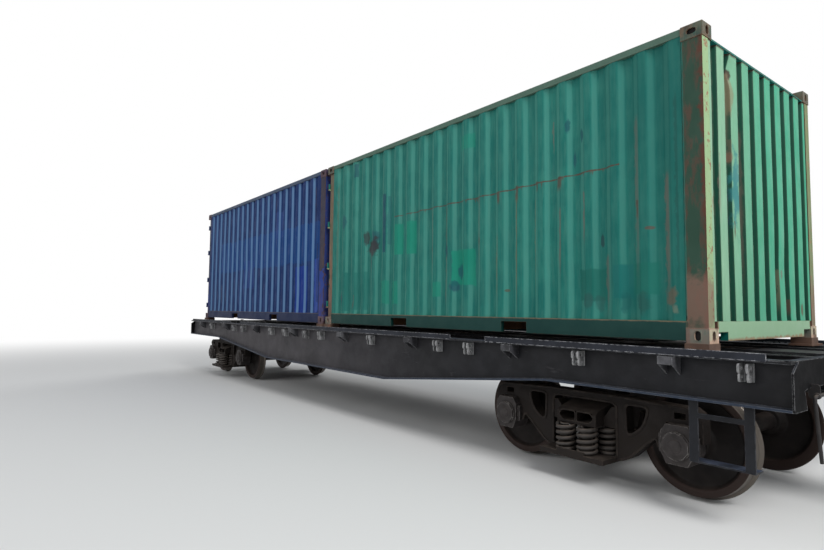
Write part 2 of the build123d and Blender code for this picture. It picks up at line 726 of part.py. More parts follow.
# Brake gear: a trussed beam with two shoes at each axle, levers and the rod under the bolster; the
# two flats of a shoe's face touch the circle that leaves the gap round the tread
shoe_near = (tread_radius + shoe_gap) / cos(radians(shoe_half_angle / 2))
shoe_far = tread_radius + shoe_gap + shoe_thickness
beam_x = jaw_x - shoe_far - 25
beam_z = (wheel_z - 45, wheel_z + 15)
with BuildPart() as brake_gear:
    angles = [radians(shoe_half_angle * step) for step in (-1, 0, 1)]
    shoe = [(jaw_x - shoe_near * cos(a), shoe_near * sin(a)) for a in angles]
    shoe += [(jaw_x - shoe_far * cos(a), shoe_far * sin(a)) for a in reversed(angles)]
    for sign in (-1, 1):
        plate(across(sign * shoe_middle_y, 0, wheel_z), shoe, shoe_width)
        bar((beam_x - 20, sign * 720, wheel_z - 15), (beam_x - 92, 0, wheel_z - 15), 15)
    block((beam_x - 30, beam_x + 30), (-frame_y_low, frame_y_low), beam_z)
    block((beam_x - 110, beam_x - 30), (-22, 22), (wheel_z - 40, wheel_z + 10))
    lever = [(beam_x - 112, 390), (beam_x - 62, 390), (beam_x - 20, 850), (beam_x - 70, 850)]
    plate(across(30), lever, 16)
    bar((0, 30, 405), (beam_x - 87, 30, 405), brake_rod_radius)
    mirror(about=Plane.YZ)

# Wheelsets: two wheels on an axle, turned as one body about the axle's line
rim_inside = tread_radius - rim_depth
tip_radius = tread_radius + flange_height
wheel_face_y = wheel_back_y + rim_width
with BuildPart() as wheelset:
    wheel_profile = [(axle_body_radius - 10, hub_inner_y), (hub_radius + 15, hub_web_y),
                     (rim_inside - 20, wheel_back_y + 44), (rim_inside, wheel_back_y),
                     (tip_radius, wheel_back_y + flange_tip_inset), (tread_radius, flange_root_y),
                     (tread_radius - tread_fall, wheel_face_y), (rim_inside, wheel_face_y),
                     (rim_inside - 20, wheel_back_y + 44 + web_thickness),
                     (hub_radius + 15, hub_web_y + web_thickness),
                     (hub_radius, hub_outer_y), (guard_radius - 10, hub_outer_y)]
    add(turned(wheel_profile, wheel_sides, (0, 0, wheel_z), (0, 1, 0)).part)
    axle_profile = [(0, 0), (axle_body_radius, 0), (axle_body_radius, hub_outer_y - 10),
                    (guard_radius, guard_end_y), (journal_radius, guard_end_y),
                    (journal_radius, journal_end_y), (0, journal_end_y)]
    add(turned(axle_profile, axle_sides, (0, 0, wheel_z), (0, 1, 0)).part)
    mirror(about=Plane.XZ)

# Each bogie has the same pieces; the rear one is turned end for end
bogie_pieces = {"bolster": bolster, "springs": springs, "axle_boxes": axle_boxes, "brake_gear": brake_gear}
for end, sign, turn in (("front", 1, 0), ("rear", -1, 180)):
    spot = Location((sign * bogie_centre_x, 0, 0), (0, 0, turn))
    with BuildPart() as side_frames:
        with Locations(spot):
            add(side_frame.part)
            add(side_frame.part.rotate(Axis.Z, 180))
    finish(side_frames, "side_frames_" + end)
    for name, piece in bogie_pieces.items():
        with BuildPart() as placed:
            with Locations(spot):
                add(piece.part)
        finish(placed, name + "_" + end)
    for place, axle in (("outer", 1), ("inner", -1)):
        with BuildPart() as placed:
            with Locations((sign * (bogie_centre_x + axle * wheelbase / 2), 0, 0)):
                add(wheelset.part)
        finish(placed, "wheelset_" + end + "_" + place)

# Containers, drawn about the middle of their underside: closed end towards +X, doors towards -X
half_length = container_length / 2
half_width = container_width / 2
half_casting = (casting_length / 2, casting_width / 2, casting_height / 2)
spigot_hole_half = (62, 31)
narrow, tall = aperture_half
# for each level: its middle height, its outer face and the half sizes of the hole in its long side
casting_levels = ((half_casting[2], -1, (narrow, tall)),
                  (container_height - half_casting[2], 1, (tall, narrow)))

post_z = (casting_height, container_height - casting_height)
header_top_z = container_height - face_inset
with BuildPart() as container_frame:
    # corner castings, each with a hole in its end, its side and its upper or lower face
    for end in (-1, 1):
        for sign in (-1, 1):
            x_mid = end * (half_length - half_casting[0])
            y_mid = sign * (half_width - half_casting[1])
            x_end = end * half_length
            y_side = sign * half_width
            for z_mid, level, side_hole in casting_levels:
                z_face = z_mid + level * half_casting[2]
                with Locations((x_mid, y_mid, z_mid)):
                    Box(casting_length, casting_width, casting_height)
                block((x_mid - spigot_hole_half[0], x_mid + spigot_hole_half[0]),
                      (y_mid - spigot_hole_half[1], y_mid + spigot_hole_half[1]),
                      (z_face, z_face - level * (spigot_height + 6)), Mode.SUBTRACT)
                block((x_mid - side_hole[0], x_mid + side_hole[0]), (y_side, y_side - sign * aperture_depth),
                      (z_mid - side_hole[1], z_mid + side_hole[1]), Mode.SUBTRACT)
                block((x_end, x_end - end * aperture_depth), (y_mid - narrow, y_mid + narrow),
                      (z_mid - tall, z_mid + tall), Mode.SUBTRACT)
    # posts of angle section and the rails between the castings
    for end in (-1, 1):
        x_out = end * half_length
        side_inset = face_inset if end == 1 else door_side_inset
        end_inset = face_inset if end == 1 else door_post_inset
        for sign in (-1, 1):
            x_post = x_out - end * end_inset
            y_post = sign * (half_width - side_inset)
            block((x_post, x_out - end * post_depth), (y_post, y_post - sign * post_plate), post_z)
            block((x_post, x_post - end * post_plate), (y_post, sign * (half_width - post_width)), post_z)
        y_ends = (-half_width + casting_width, half_width - casting_width)
        x_rail = x_out - end * (face_inset if end == 1 else door_sill_inset)
        block((x_rail, x_rail - end * rail_depth), y_ends, lower_rail_span)
        x_header = x_out - end * (header_setback if end == 1 else door_sill_inset)
        block((x_header, x_out - end * casting_length), y_ends, (post_z[1], header_top_z))
    # a plate covers the ribs of the closed end in front of its header
    block((half_length - face_inset, half_length - header_setback), y_ends,
          (post_z[1], post_z[1] + header_cap))
    for sign in (-1, 1):
        block((half_length - face_inset, half_length - face_inset - rail_depth),
              (sign * end_notch_y, y_ends[1] * sign), (lower_rail_span[0], end_notch_z), Mode.SUBTRACT)
        x_ends = (-half_length + casting_length, half_length - casting_length)
        y_out = sign * (half_width - face_inset)
        block(x_ends, (y_out, y_out - sign * 50), lower_rail_span)
        block(x_ends, (y_out, y_out - sign * rail_depth), (header_top_z - rail_depth, header_top_z))
        for pocket in (-pocket_x, pocket_x):
            block((pocket - pocket_length / 2, pocket + pocket_length / 2),
                  (sign * (half_width - 80), sign * half_width), (0, pocket_height), Mode.SUBTRACT)
        lug_face_y = half_width - hinge_inset_y + hinge_radius
        for z_hinge in hinge_heights:
            z_lug = z_hinge - hinge_height / 2 - running_gap
            block((-half_length + hinge_inset_x - hinge_radius, -half_length + door_post_inset),
                  (sign * (half_width - door_side_inset - 40), sign * lug_face_y), (z_lug - 20, z_lug))

wall_z = (lower_rail_span[1], header_top_z - rail_depth)
side_wall_end = half_length - face_inset - post_depth
with BuildPart() as side_walls:
    outline = ribbed(-side_wall_end, side_wall_end, wall_ribs, wall_pitch, wall_flat, wall_slope, wall_depth,
                     sheet)
    with BuildSketch(Plane.XY.offset(wall_z[0])) as section:
        with BuildLine():
            Polyline(*[(x, half_width - face_inset - 4 + y) for x, y in outline], close=True)
        make_face()
    extrude(to_extrude=section.sketch, amount=wall_z[1] - wall_z[0])
    mirror(about=Plane.XZ)

end_ribs = 9
end_rib_pitch = 250
end_rib_flat = 136
end_rib_slope = 18
end_rib_depth = 45
end_wall_end = half_width - face_inset - post_width
with BuildPart() as end_wall:
    outline = ribbed(-end_wall_end, end_wall_end, end_ribs, end_rib_pitch, end_rib_flat, end_rib_slope,
                     end_rib_depth, sheet)
    with BuildSketch(Plane.XY.offset(wall_z[0])) as section:
        with BuildLine():
            Polyline(*[(half_length - face_inset - 4 + x, y) for y, x in outline], close=True)
        make_face()
    extrude(to_extrude=section.sketch, amount=post_z[1] - wall_z[0])

roof_ribs = 16
roof_pitch = 348
roof_flat = 150
roof_slope = 16
roof_depth = 20
roof_half_width = half_width - face_inset - rail_depth
roof_end = half_length - casting_length
with BuildPart() as roof:
    outline = ribbed(-roof_end, roof_end, roof_ribs, roof_pitch, roof_flat, roof_slope, roof_depth, sheet)
    with BuildSketch(across(0, 0, container_height - face_inset - 2)) as section:
        with BuildLine():
            Polyline(*outline, close=True)
        make_face()
    extrude(to_extrude=section.sketch, amount=roof_half_width, both=True)

floor_half_width = half_width - face_inset - 50
with BuildPart() as floor:
    block((-half_length + door_sill_inset + rail_depth, half_length - face_inset - rail_depth),
          (-floor_half_width, floor_half_width), floor_span)
    for k in range(-5, 6):
        rib = k * cross_member_pitch
        if abs(abs(rib) - pocket_x) > pocket_length / 2 + cross_member_half:
            block((rib - cross_member_half, rib + cross_member_half), (-floor_half_width, floor_half_width),
                  (26, floor_span[0]))

door_x = -half_length
door_z = (lower_rail_span[1] + door_gap, post_z[1] - door_gap)
x_face = door_x + door_face_inset
y_hinge = half_width - hinge_inset_y
leaf_y = (door_gap, half_width - post_width - door_gap)
rib_count = 3
with BuildPart() as door:
    block((x_face, x_face + door_thickness), leaf_y, door_z)
    # sunken panels between the ribs of the leaf
    field_z = (door_z[0] + 70, door_z[1] - 70)
    field_step = (field_z[1] - field_z[0] + 60) / (rib_count + 1)
    for k in range(rib_count + 1):
        z_low = field_z[0] + k * field_step
        block((x_face, x_face + door_rib_depth), (leaf_y[0] + 60, leaf_y[1] - 60),
              (z_low, z_low + field_step - 60), Mode.SUBTRACT)
    for z_hinge in hinge_heights:
        z_span = (z_hinge - hinge_height / 2, z_hinge + hinge_height / 2)
        block((door_x + hinge_inset_x - 7, door_x + hinge_inset_x + 7), (y_hinge, y_hinge - 190), z_span)
        block((door_x + hinge_inset_x, x_face), (y_hinge - 145, y_hinge - 190), z_span)
        bar((door_x + hinge_inset_x, y_hinge, z_span[0]), (door_x + hinge_inset_x, y_hinge, z_span[1]),
            hinge_radius)

x_bar = door_x + bar_inset
keeper_levels = (door_z[0] + 40, door_z[1] - 80)
with BuildPart() as lock_bars_pair:
    for y_bar, z_handle in lock_bars:
        bar((x_bar, y_bar, 60), (x_bar, y_bar, container_height - 60), bar_radius)
        for z_keep in keeper_levels:
            block((x_bar, x_face), (y_bar - 25, y_bar + 25), (z_keep, z_keep + 40))
        block((x_bar - 6, x_bar + 6), (y_bar, y_bar - 190), (z_handle, z_handle + 32))
        block((x_bar - 6, x_face), (y_bar - 190, y_bar - 215), (z_handle - 12, z_handle + 44))

container_pieces = {"frame": container_frame, "side_walls": side_walls, "end_wall": end_wall, "roof": roof,
                    "floor": floor}
for colour, centre in container_centres.items():
    place = (centre, 0, container_low_z)
    for name, piece in container_pieces.items():
        with BuildPart() as placed:
            with Locations(place):
                add(piece.part)
        finish(placed, colour + "_" + name)
    for name, piece in (("door", door), ("lock_bars", lock_bars_pair)):
        for side, leaf in (("left", piece.part), ("right", piece.part.mirror(Plane.XZ))):
            with BuildPart() as placed:
                with Locations(place):
                    add(leaf)
            finish(placed, colour + "_" + name + "_" + side)
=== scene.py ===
# Flatcar with two freight containers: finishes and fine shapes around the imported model
import json
from math import cos, pi, radians, sin
import bmesh
import bpy
import numpy as np
from mathutils import Matrix, Vector


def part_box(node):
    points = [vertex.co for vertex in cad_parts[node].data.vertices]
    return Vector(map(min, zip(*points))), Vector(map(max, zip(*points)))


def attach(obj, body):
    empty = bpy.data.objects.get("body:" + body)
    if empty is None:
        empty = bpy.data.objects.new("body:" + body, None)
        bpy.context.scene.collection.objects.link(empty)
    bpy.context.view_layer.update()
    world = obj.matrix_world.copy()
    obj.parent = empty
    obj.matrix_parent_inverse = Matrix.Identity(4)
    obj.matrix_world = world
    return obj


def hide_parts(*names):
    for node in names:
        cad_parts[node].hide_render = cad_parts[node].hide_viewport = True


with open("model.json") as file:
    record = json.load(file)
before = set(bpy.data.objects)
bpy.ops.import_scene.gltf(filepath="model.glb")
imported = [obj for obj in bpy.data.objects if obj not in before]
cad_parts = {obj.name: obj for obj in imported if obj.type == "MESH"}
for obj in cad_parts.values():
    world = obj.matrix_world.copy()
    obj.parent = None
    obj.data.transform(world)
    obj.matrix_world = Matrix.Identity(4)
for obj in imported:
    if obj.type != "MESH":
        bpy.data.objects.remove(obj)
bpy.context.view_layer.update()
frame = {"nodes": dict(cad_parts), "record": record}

nodes = frame["nodes"]
bodyOf = {node: body for body, names in frame["record"]["behaviour"]["bodies"].items() for node in names}
print("frame:", len(nodes), "nodes")

ends = {"front": 1, "rear": -1}
sides = {"left": 1, "right": -1}
middles = {"green": 3.067, "blue": -3.067}  # middle of each container along the car
container = {"halfLong": 3.029, "low": 1.338, "middleHigh": 2.6335, "castingX": 2.94, "castingY": 1.138}
bogie = {"x": 4.86, "axle": 0.925, "axleHigh": 0.493}


# colours are noted as they look on a screen, 0 to 255; as light each is ((c + 0.055) / 1.055) ^ 2.4
def screen(red, green, blue):
    value = np.array([red, green, blue]) / 255
    value = np.where(value > 0.04045, ((value + 0.055) / 1.055) ** 2.4, value / 12.92)
    return (*value.tolist(), 1.0)


# quads of a grid: point (i, j) has number i * columns + j; wrapped, the last column meets the first
def gridQuads(rows, columns, wrap=False):
    i, j = np.meshgrid(np.arange(rows - 1), np.arange(columns if wrap else columns - 1), indexing="ij")
    i, j = i.ravel(), j.ravel()
    k = (j + 1) % columns
    return np.stack([i * columns + j, i * columns + k, (i + 1) * columns + k, (i + 1) * columns + j], 1)


# several parts, each points and quads, as one: every part's quads are raised by the points before it
def joined(parts):
    points, quads = zip(*parts)
    starts = np.cumsum([0] + [len(some) for some in points[:-1]])
    return np.concatenate(points), np.concatenate([some + start for some, start in zip(quads, starts)])


# turned body: (r, t) at angle a lies at origin + t * axis + r * (cos a * side + sin a * up)
def lathe(profile, origin, axis, turns=48):
    r, t = np.array(profile, float).T
    axis = np.array(axis, float) / np.linalg.norm(axis)
    side = np.cross(axis, (0, 0, 1) if abs(axis[2]) < 0.9 else (1, 0, 0))
    side /= np.linalg.norm(side)
    up = np.cross(axis, side)
    a = np.linspace(0, 2 * pi, turns, endpoint=False)[:, None]
    ring = np.cos(a) * side + np.sin(a) * up
    points = np.array(origin, float) + t[:, None, None] * axis + r[:, None, None] * ring[None]
    return points.reshape(-1, 3), gridQuads(len(r), turns, wrap=True)


# a profile with each corner p replaced by the curve (1-u)^2 a + 2u(1-u) p + u^2 b, where a and b
# lie at most the given cut before and after p
def rounded(profile, cut, steps=4):
    p = np.array(profile, float)
    before, after = p[:-2] - p[1:-1], p[2:] - p[1:-1]
    back, ahead = np.linalg.norm(before, axis=1), np.linalg.norm(after, axis=1)
    a = p[1:-1] + before * (np.minimum(cut, back * 0.45) / back)[:, None]
    b = p[1:-1] + after * (np.minimum(cut, ahead * 0.45) / ahead)[:, None]
    u = np.linspace(0, 1, steps)[None, :, None]
    curve = (1 - u) ** 2 * a[:, None] + 2 * u * (1 - u) * p[1:-1, None] + u ** 2 * b[:, None]
    return np.concatenate([p[:1], curve.reshape(-1, p.shape[1]), p[-1:]])


# round bar along a path: path(s) + radius(s) * (cos a * side + sin a * other), closed at both ends
def tube(path, radius, sides=10, up=(0, 0, 1)):
    path = np.array(path, float)
    along = np.gradient(path, axis=0)
    along /= np.linalg.norm(along, axis=1)[:, None]
    side = np.cross(along, up)
    side /= np.linalg.norm(side, axis=1)[:, None]
    other = np.cross(side, along)
    path, side, other = (np.concatenate([v[:1], v, v[-1:]]) for v in (path, side, other))
    size = np.concatenate([[0], np.full(len(along), radius), [0]])
    a = np.linspace(0, 2 * pi, sides, endpoint=False)[None, :, None]
    ring = np.cos(a) * side[:, None] + np.sin(a) * other[:, None]
    points = path[:, None] + size[:, None, None] * ring
    return points.reshape(-1, 3), gridQuads(len(path), sides, wrap=True)


# sheet with a thickness: two grids of the same size joined along their four borders
def slab(outer, inner):
    rows, columns = outer.shape[:2]
    count = rows * columns
    quads = gridQuads(rows, columns)
    number = np.arange(count).reshape(rows, columns)
    edges = np.concatenate([number[0], number[1:, -1], number[-1, -2::-1], number[-2:0:-1, 0]])
    following = np.roll(edges, -1)
    rim = np.stack([edges, following, following + count, edges + count], 1)
    points = np.concatenate([outer.reshape(-1, 3), inner.reshape(-1, 3)])
    return points, np.concatenate([quads, quads[:, ::-1] + count, rim[:, ::-1]])


# reach of a circle from its middle: the radius at every angle; 0 closes a plate
def circle(radius):
    return lambda a: np.full(a.shape, float(radius))


# reach of a rounded rectangle from its middle at angle a: (|cos a / h|^p + |sin a / v|^p)^(-1/p)
def rectangle(halfAcross, halfUp, power=6):
    return lambda a: (np.abs(np.cos(a) / halfAcross) ** power
                      + np.abs(np.sin(a) / halfUp) ** power) ** (-1 / power)


# reach of an oblong hole: straight sides at the short half, round ends about the points (0, +-run)
def oblong(halfShort, halfLong):
    def reach(a):
        run = halfLong - halfShort
        side = halfShort / np.maximum(np.abs(np.cos(a)), 1e-6)
        cap = run * np.abs(np.sin(a)) + np.sqrt(np.maximum(halfShort ** 2 - (run * np.cos(a)) ** 2, 0))
        return np.where(side * np.abs(np.sin(a)) <= run, side, cap)
    return reach


# lays flat shapes in space: h along, v up and d deep is origin + h * along + v * up + d * deep
def plane(origin, along, deep, up=(0, 0, 1)):
    origin, along, deep, up = (np.array(vector, float) for vector in (origin, along, deep, up))
    return lambda h, v, d: origin + h[..., None] * along + v[..., None] * up + d[..., None] * deep


# flat ring between two reaches, d deep, with its outer edge cut; an inner reach of 0 gives a closed plate
def ringPlate(outer, inner, depth, place, turns=32, cut=0.002):
    a = (np.arange(turns) + 0.5) * 2 * pi / turns
    out, hole = outer(a), inner(a)
    reach = np.stack([hole, hole, out - cut, out, out, hole])
    deep = np.array([depth, 0, 0, cut, depth, depth])[:, None] + 0 * reach
    points = place(reach * np.cos(a), reach * np.sin(a), deep)
    return points.reshape(-1, 3), gridQuads(6, turns, wrap=True)


# closed plate, a rounded rectangle of two half widths
def plate(half, depth, place, turns=20, cut=0.002, power=6):
    return ringPlate(rectangle(*half, power), circle(0), depth, place, turns, cut)


# rim carried along an outline: corner k of its section stands n_k off the outline along its outward
# normal and d_k out of the plane
def rimPart(outline, section, place, closed=True, cut=0.03):
    p = np.array(outline, float)
    if closed:
        following = np.roll(p, -1, axis=0)
        if np.sum(p[:, 0] * following[:, 1] - following[:, 0] * p[:, 1]) < 0:
            p = p[::-1]
        middle = (p[-1] + p[0]) / 2
        p = np.concatenate([[middle], p, [middle]])
    p = rounded(p, cut, 5)
    along = np.gradient(p, axis=0)
    if closed:
        along[0] = along[-1] = p[1] - p[-2]
    along /= np.linalg.norm(along, axis=1)[:, None]
    normal = np.stack([along[:, 1], -along[:, 0]], 1)
    n, d = np.array(section, float).T
    spread = p[:, None] + n[None, :, None] * normal[:, None]
    points = place(spread[..., 0], spread[..., 1], d[None] + 0 * spread[..., 0])
    quads = gridQuads(len(p), len(n), wrap=True)
    if not closed:
        caps = [np.arange(len(n))[::-1], np.arange(len(n)) + (len(p) - 1) * len(n)]
        fans = [[cap[0], cap[k], cap[k + 1], cap[k + 1]] for cap in caps for k in range(1, len(n) - 1)]
        quads = np.concatenate([quads, np.array(fans)])
    return points.reshape(-1, 3), quads


# hexagonal bolt head on a face, turned in six steps, its top edge cut
def boltHead(place, axis, radius, height):
    line = [(0, height), (radius * 0.86, height), (radius, height * 0.72), (radius, 0), (0, 0)]
    return lathe(line, place, axis, 6)


# short round sleeve about an axis, open for what runs through it, its outer edges cut
def sleeve(place, axis, bore, radius, length, turns=16):
    cut = min(0.003, length / 4)
    line = [(bore, 0), (radius - cut, 0), (radius, cut), (radius, length - cut), (radius - cut, length),
            (bore, length), (bore, 0)]
    return lathe(line, place, axis, turns)


# an object of that name in the scene
def linked(name, data):
    thing = bpy.data.objects.new(name, data)
    bpy.context.scene.collection.objects.link(thing)
    return thing


# smooth faces but for edges sharper than the angle, and one material
def finished(mesh, sharp, material):
    mesh.shade_smooth()
    mesh.set_sharp_from_angle(angle=radians(sharp))
    mesh.materials.clear()
    mesh.materials.append(material)


# puts a mesh into the scene as a piece that rides on a body and stands for the given nodes
def addPiece(name, parts, body, material, stands=(), sharp=35, values=None):
    points, quads = joined(parts)
    mesh = bpy.data.meshes.new(name)
    mesh.from_pydata(points.tolist(), [], [list(dict.fromkeys(quad)) for quad in quads.tolist()])
    for label, numbers in (values or {}).items():
        mesh.attributes.new(label, "FLOAT", "POINT").data.foreach_set("value", np.asarray(numbers, "f"))
    work = bmesh.new()
    work.from_mesh(mesh)
    bmesh.ops.remove_doubles(work, verts=work.verts, dist=1e-6)
    bmesh.ops.recalc_face_normals(work, faces=work.faces)
    work.to_mesh(mesh)
    work.free()
    finished(mesh, sharp, material)
    piece = linked(name, mesh)
    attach(piece, body)
    if stands:
        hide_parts(*stands)


# angles in degrees: flat faces are joined below one, edges are rounded above another and shown above the last
softEdges = {"merge": 2e-5, "flat": 1.5, "round": 25, "sharp": 40}


# copy of a cast or welded node with its edges rounded, in the node's place
def softened(node, width, segments, material):
    mesh = nodes[node].data.copy()
    mesh.name = node + "_soft"
    work = bmesh.new()
    work.from_mesh(mesh)
    bmesh.ops.remove_doubles(work, verts=work.verts, dist=softEdges["merge"])
    bmesh.ops.dissolve_limit(work, angle_limit=radians(softEdges["flat"]), verts=work.verts, edges=work.edges)
    work.to_mesh(mesh)
    work.free()
    finished(mesh, softEdges["sharp"], material)
    piece = linked(node + "_soft", mesh)
    bevel = piece.modifiers.new("edges", "BEVEL")
    bevel.width = width
    bevel.segments = segments
    bevel.limit_method = "ANGLE"
    bevel.angle_limit = radians(softEdges["round"])
    bevel.harden_normals = True
    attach(piece, bodyOf[node])
    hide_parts(node)


# fills or links a shader node's inputs; a colour is given as it looks on a screen
def fill(tree, node, inputs):
    for key, value in inputs.items():
        given = node.inputs[key]
        if isinstance(value, bpy.types.NodeSocket):
            tree.links.new(value, given)
        else:
            given.default_value = screen(*value) if given.type == "RGBA" else value


# adds a shader node, sets its properties and fills its inputs
def put(tree, kind, inputs=None, **settings):
    node = tree.nodes.new(kind)
    for key, value in settings.items():
        setattr(node, key, value)
    fill(tree, node, inputs or {})
    return node


# one step of arithmetic: the numbers or sockets under the operation's own rule
def reckon(tree, operation, *numbers, clamp=False):
    return put(tree, "ShaderNodeMath", dict(enumerate(numbers)), operation=operation, use_clamp=clamp).outputs[0]


# first times second
def times(tree, first, second):
    return reckon(tree, "MULTIPLY", first, second)


# 1 minus the value
def less(tree, value):
    return reckon(tree, "SUBTRACT", 1.0, value)


# one step of vector arithmetic
def vectorStep(tree, operation, *vectors, give=0):
    return put(tree, "ShaderNodeVectorMath", dict(enumerate(vectors)), operation=operation).outputs[give]


# the parts X, Y and Z of a vector
def axes(tree, vector):
    return put(tree, "ShaderNodeSeparateXYZ", {0: vector}).outputs


# value from low to high carried to 0 to 1 along a straight line
def straight(tree, value, low, high, **settings):
    return put(tree, "ShaderNodeMapRange", {0: value, 1: low, 2: high}, **settings).outputs[0]


# value from low to high carried to 0 to 1, with a soft start and end
def ramp(tree, value, low, high):
    return straight(tree, value, low, high, interpolation_type="SMOOTHSTEP")


# fractal noise from 0 to 1 at a place, its scale in lumps per metre
def noise(tree, vector, scale, detail=4.0, rough=0.55):
    return put(tree, "ShaderNodeTexNoise", {"Vector": vector, "Scale": scale, "Detail": detail,
                                            "Roughness": rough}).outputs["Fac"]


# noise less 0.5, so that it moves a border both ways
def centred(tree, vector, scale, detail=5):
    return reckon(tree, "SUBTRACT", noise(tree, vector, scale, detail, 0.6), 0.5)


# first where the factor is 0, second where it is 1
def blend(tree, factor, first, second):
    return put(tree, "ShaderNodeMix", {0: factor, 6: first, 7: second}, data_type="RGBA").outputs[2]


# colour under layers of (mask, strength, tint): each covers mask * strength of what is below
def layered(tree, colour, *layers):
    for mask, strength, tint in layers:
        colour = blend(tree, times(tree, mask, strength), colour, tint)
    return colour


# the vector with each of its parts multiplied
def stretched(tree, vector, x, y, z):
    return put(tree, "ShaderNodeMapping", {"Vector": vector, "Scale": (x, y, z)}).outputs[0]


# shader group that reads a Vector, numbers or vectors and tints, and puts out a Mask, and a Color with tints
def newGroup(name, inputs, tints=None):
    group = bpy.data.node_groups.new(name, "ShaderNodeTree")
    rows = [("Vector", "Vector", None)]
    rows += [(label, "Vector" if isinstance(value, tuple) else "Float", value) for label, value in inputs.items()]
    rows += [(label, "Color", screen(*tint)) for label, tint in (tints or {}).items()]
    for label, kind, value in rows:
        socket = group.interface.new_socket(label, in_out="INPUT", socket_type="NodeSocket" + kind)
        if value is not None:
            socket.default_value = value
    for label, kind in (("Mask", "Float"), ("Color", "Color"))[:2 if tints else 1]:
        group.interface.new_socket(label, in_out="OUTPUT", socket_type="NodeSocket" + kind)
    return group, group.nodes.new("NodeGroupInput").outputs, group.nodes.new("NodeGroupOutput")


# wear on edges, which on some finishes also stands for painted edge glints: where a normal rounded over the radius
# turns away from the true one, broken by noise
def makeEdgeWearAndGlint():
    group, given, out = newGroup("edgeWearAndGlint", {"Radius": 0.008, "Breakup": 14.0})
    soft = put(group, "ShaderNodeBevel", {"Radius": given["Radius"]}, samples=4).outputs[0]
    true = put(group, "ShaderNodeNewGeometry").outputs["True Normal"]
    edge = ramp(group, less(group, vectorStep(group, "DOT_PRODUCT", soft, true, give="Value")), 0.004, 0.09)
    broken = ramp(group, noise(group, given["Vector"], given["Breakup"], 6), 0.38, 0.62)
    fill(group, out, {"Mask": times(group, edge, broken)})
    return group


# rust: blots where 0.72 coarse + 0.28 fine noise passes a threshold, with a dark middle and an orange rim
def makeRust():
    group, given, out = newGroup("rustBlots", {"Scale": 3.0, "Cover": 0.4},
                                 {"Young": (150, 84, 52), "Old": (74, 44, 36)})
    coarse = noise(group, given["Vector"], given["Scale"], 8, 0.62)
    fine = noise(group, given["Vector"], times(group, given["Scale"], 9.0), 6, 0.6)
    mixed = reckon(group, "ADD", times(group, coarse, 0.72), times(group, fine, 0.28))
    start = reckon(group, "SUBTRACT", 0.80, times(group, given["Cover"], 0.5))
    rim = straight(group, mixed, start, reckon(group, "ADD", start, 0.035))
    core = straight(group, mixed, reckon(group, "ADD", start, 0.03), reckon(group, "ADD", start, 0.10))
    fill(group, out, {"Mask": rim, "Color": blend(group, core, given["Young"], given["Old"])})
    return group


# runs of dirt or rust down a wall: noise stretched along Z, cut at a threshold
def makeStreaks():
    group, given, out = newGroup("wallStreaks", {"Across": 16.0, "Down": 0.7, "Cover": 0.4})
    scale = put(group, "ShaderNodeCombineXYZ", {"X": given["Across"], "Y": given["Across"], "Z": given["Down"]})
    runs = noise(group, vectorStep(group, "MULTIPLY", given["Vector"], scale.outputs[0]), 1.0, 5, 0.6)
    start = reckon(group, "SUBTRACT", 0.76, times(group, given["Cover"], 0.36))
    fill(group, out, {"Mask": straight(group, runs, start, reckon(group, "ADD", start, 0.14))})
    return group


# dust that settles on what faces up, and road dirt that thins out as 1 - z / Height
def makeDust():
    group, given, out = newGroup("settledDust", {"Upward": 0.6, "Thrown": 0.4, "Height": 1.2})
    up = axes(group, put(group, "ShaderNodeNewGeometry").outputs["Normal"])["Z"]
    z = axes(group, given["Vector"])["Z"]
    fleck = ramp(group, noise(group, given["Vector"], 7.0, 7, 0.62), 0.34, 0.66)
    lying = times(group, ramp(group, up, 0.35, 0.95), given["Upward"])
    low = reckon(group, "SUBTRACT", 1.0, reckon(group, "DIVIDE", z, given["Height"]), clamp=True)
    both = reckon(group, "ADD", lying, times(group, low, given["Thrown"]))
    level = times(group, both, reckon(group, "ADD", times(group, fleck, 0.75), 0.25))
    fill(group, out, {"Mask": reckon(group, "MINIMUM", level, 1.0)})
    return group


# field of a wall: 1 within Half of the Centre, its borders moved by Shift times Ragged
def makeField():
    group, given, out = newGroup("wallField", {"Centre": (0, 0, 0), "Half": (1, 1, 1), "Shift": 0.0,
                                               "Ragged": 0.03, "Soft": 0.01})
    away = vectorStep(group, "ABSOLUTE", vectorStep(group, "SUBTRACT", given["Vector"], given["Centre"]))
    split = axes(group, vectorStep(group, "SUBTRACT", away, given["Half"]))
    far = reckon(group, "MAXIMUM", reckon(group, "MAXIMUM", split["X"], split["Y"]), split["Z"])
    far = reckon(group, "MULTIPLY_ADD", given["Shift"], given["Ragged"], far)
    fill(group, out, {"Mask": straight(group, far, given["Soft"], times(group, given["Soft"], -1.0))})
    return group


# round smear: from 1 in the middle to 0 where |(v - Centre) / Half| reaches 1, torn by the Shift
def makeSmear():
    group, given, out = newGroup("wallSmear", {"Centre": (0, 0, 0), "Half": (1, 1, 1), "Shift": 0.0, "Ragged": 1.0})
    away = vectorStep(group, "DIVIDE", vectorStep(group, "SUBTRACT", given["Vector"], given["Centre"]), given["Half"])
    far = vectorStep(group, "LENGTH", away, give="Value")
    far = reckon(group, "MULTIPLY_ADD", given["Shift"], given["Ragged"], far)
    fill(group, out, {"Mask": less(group, ramp(group, far, 0.55, 1.05))})
    return group


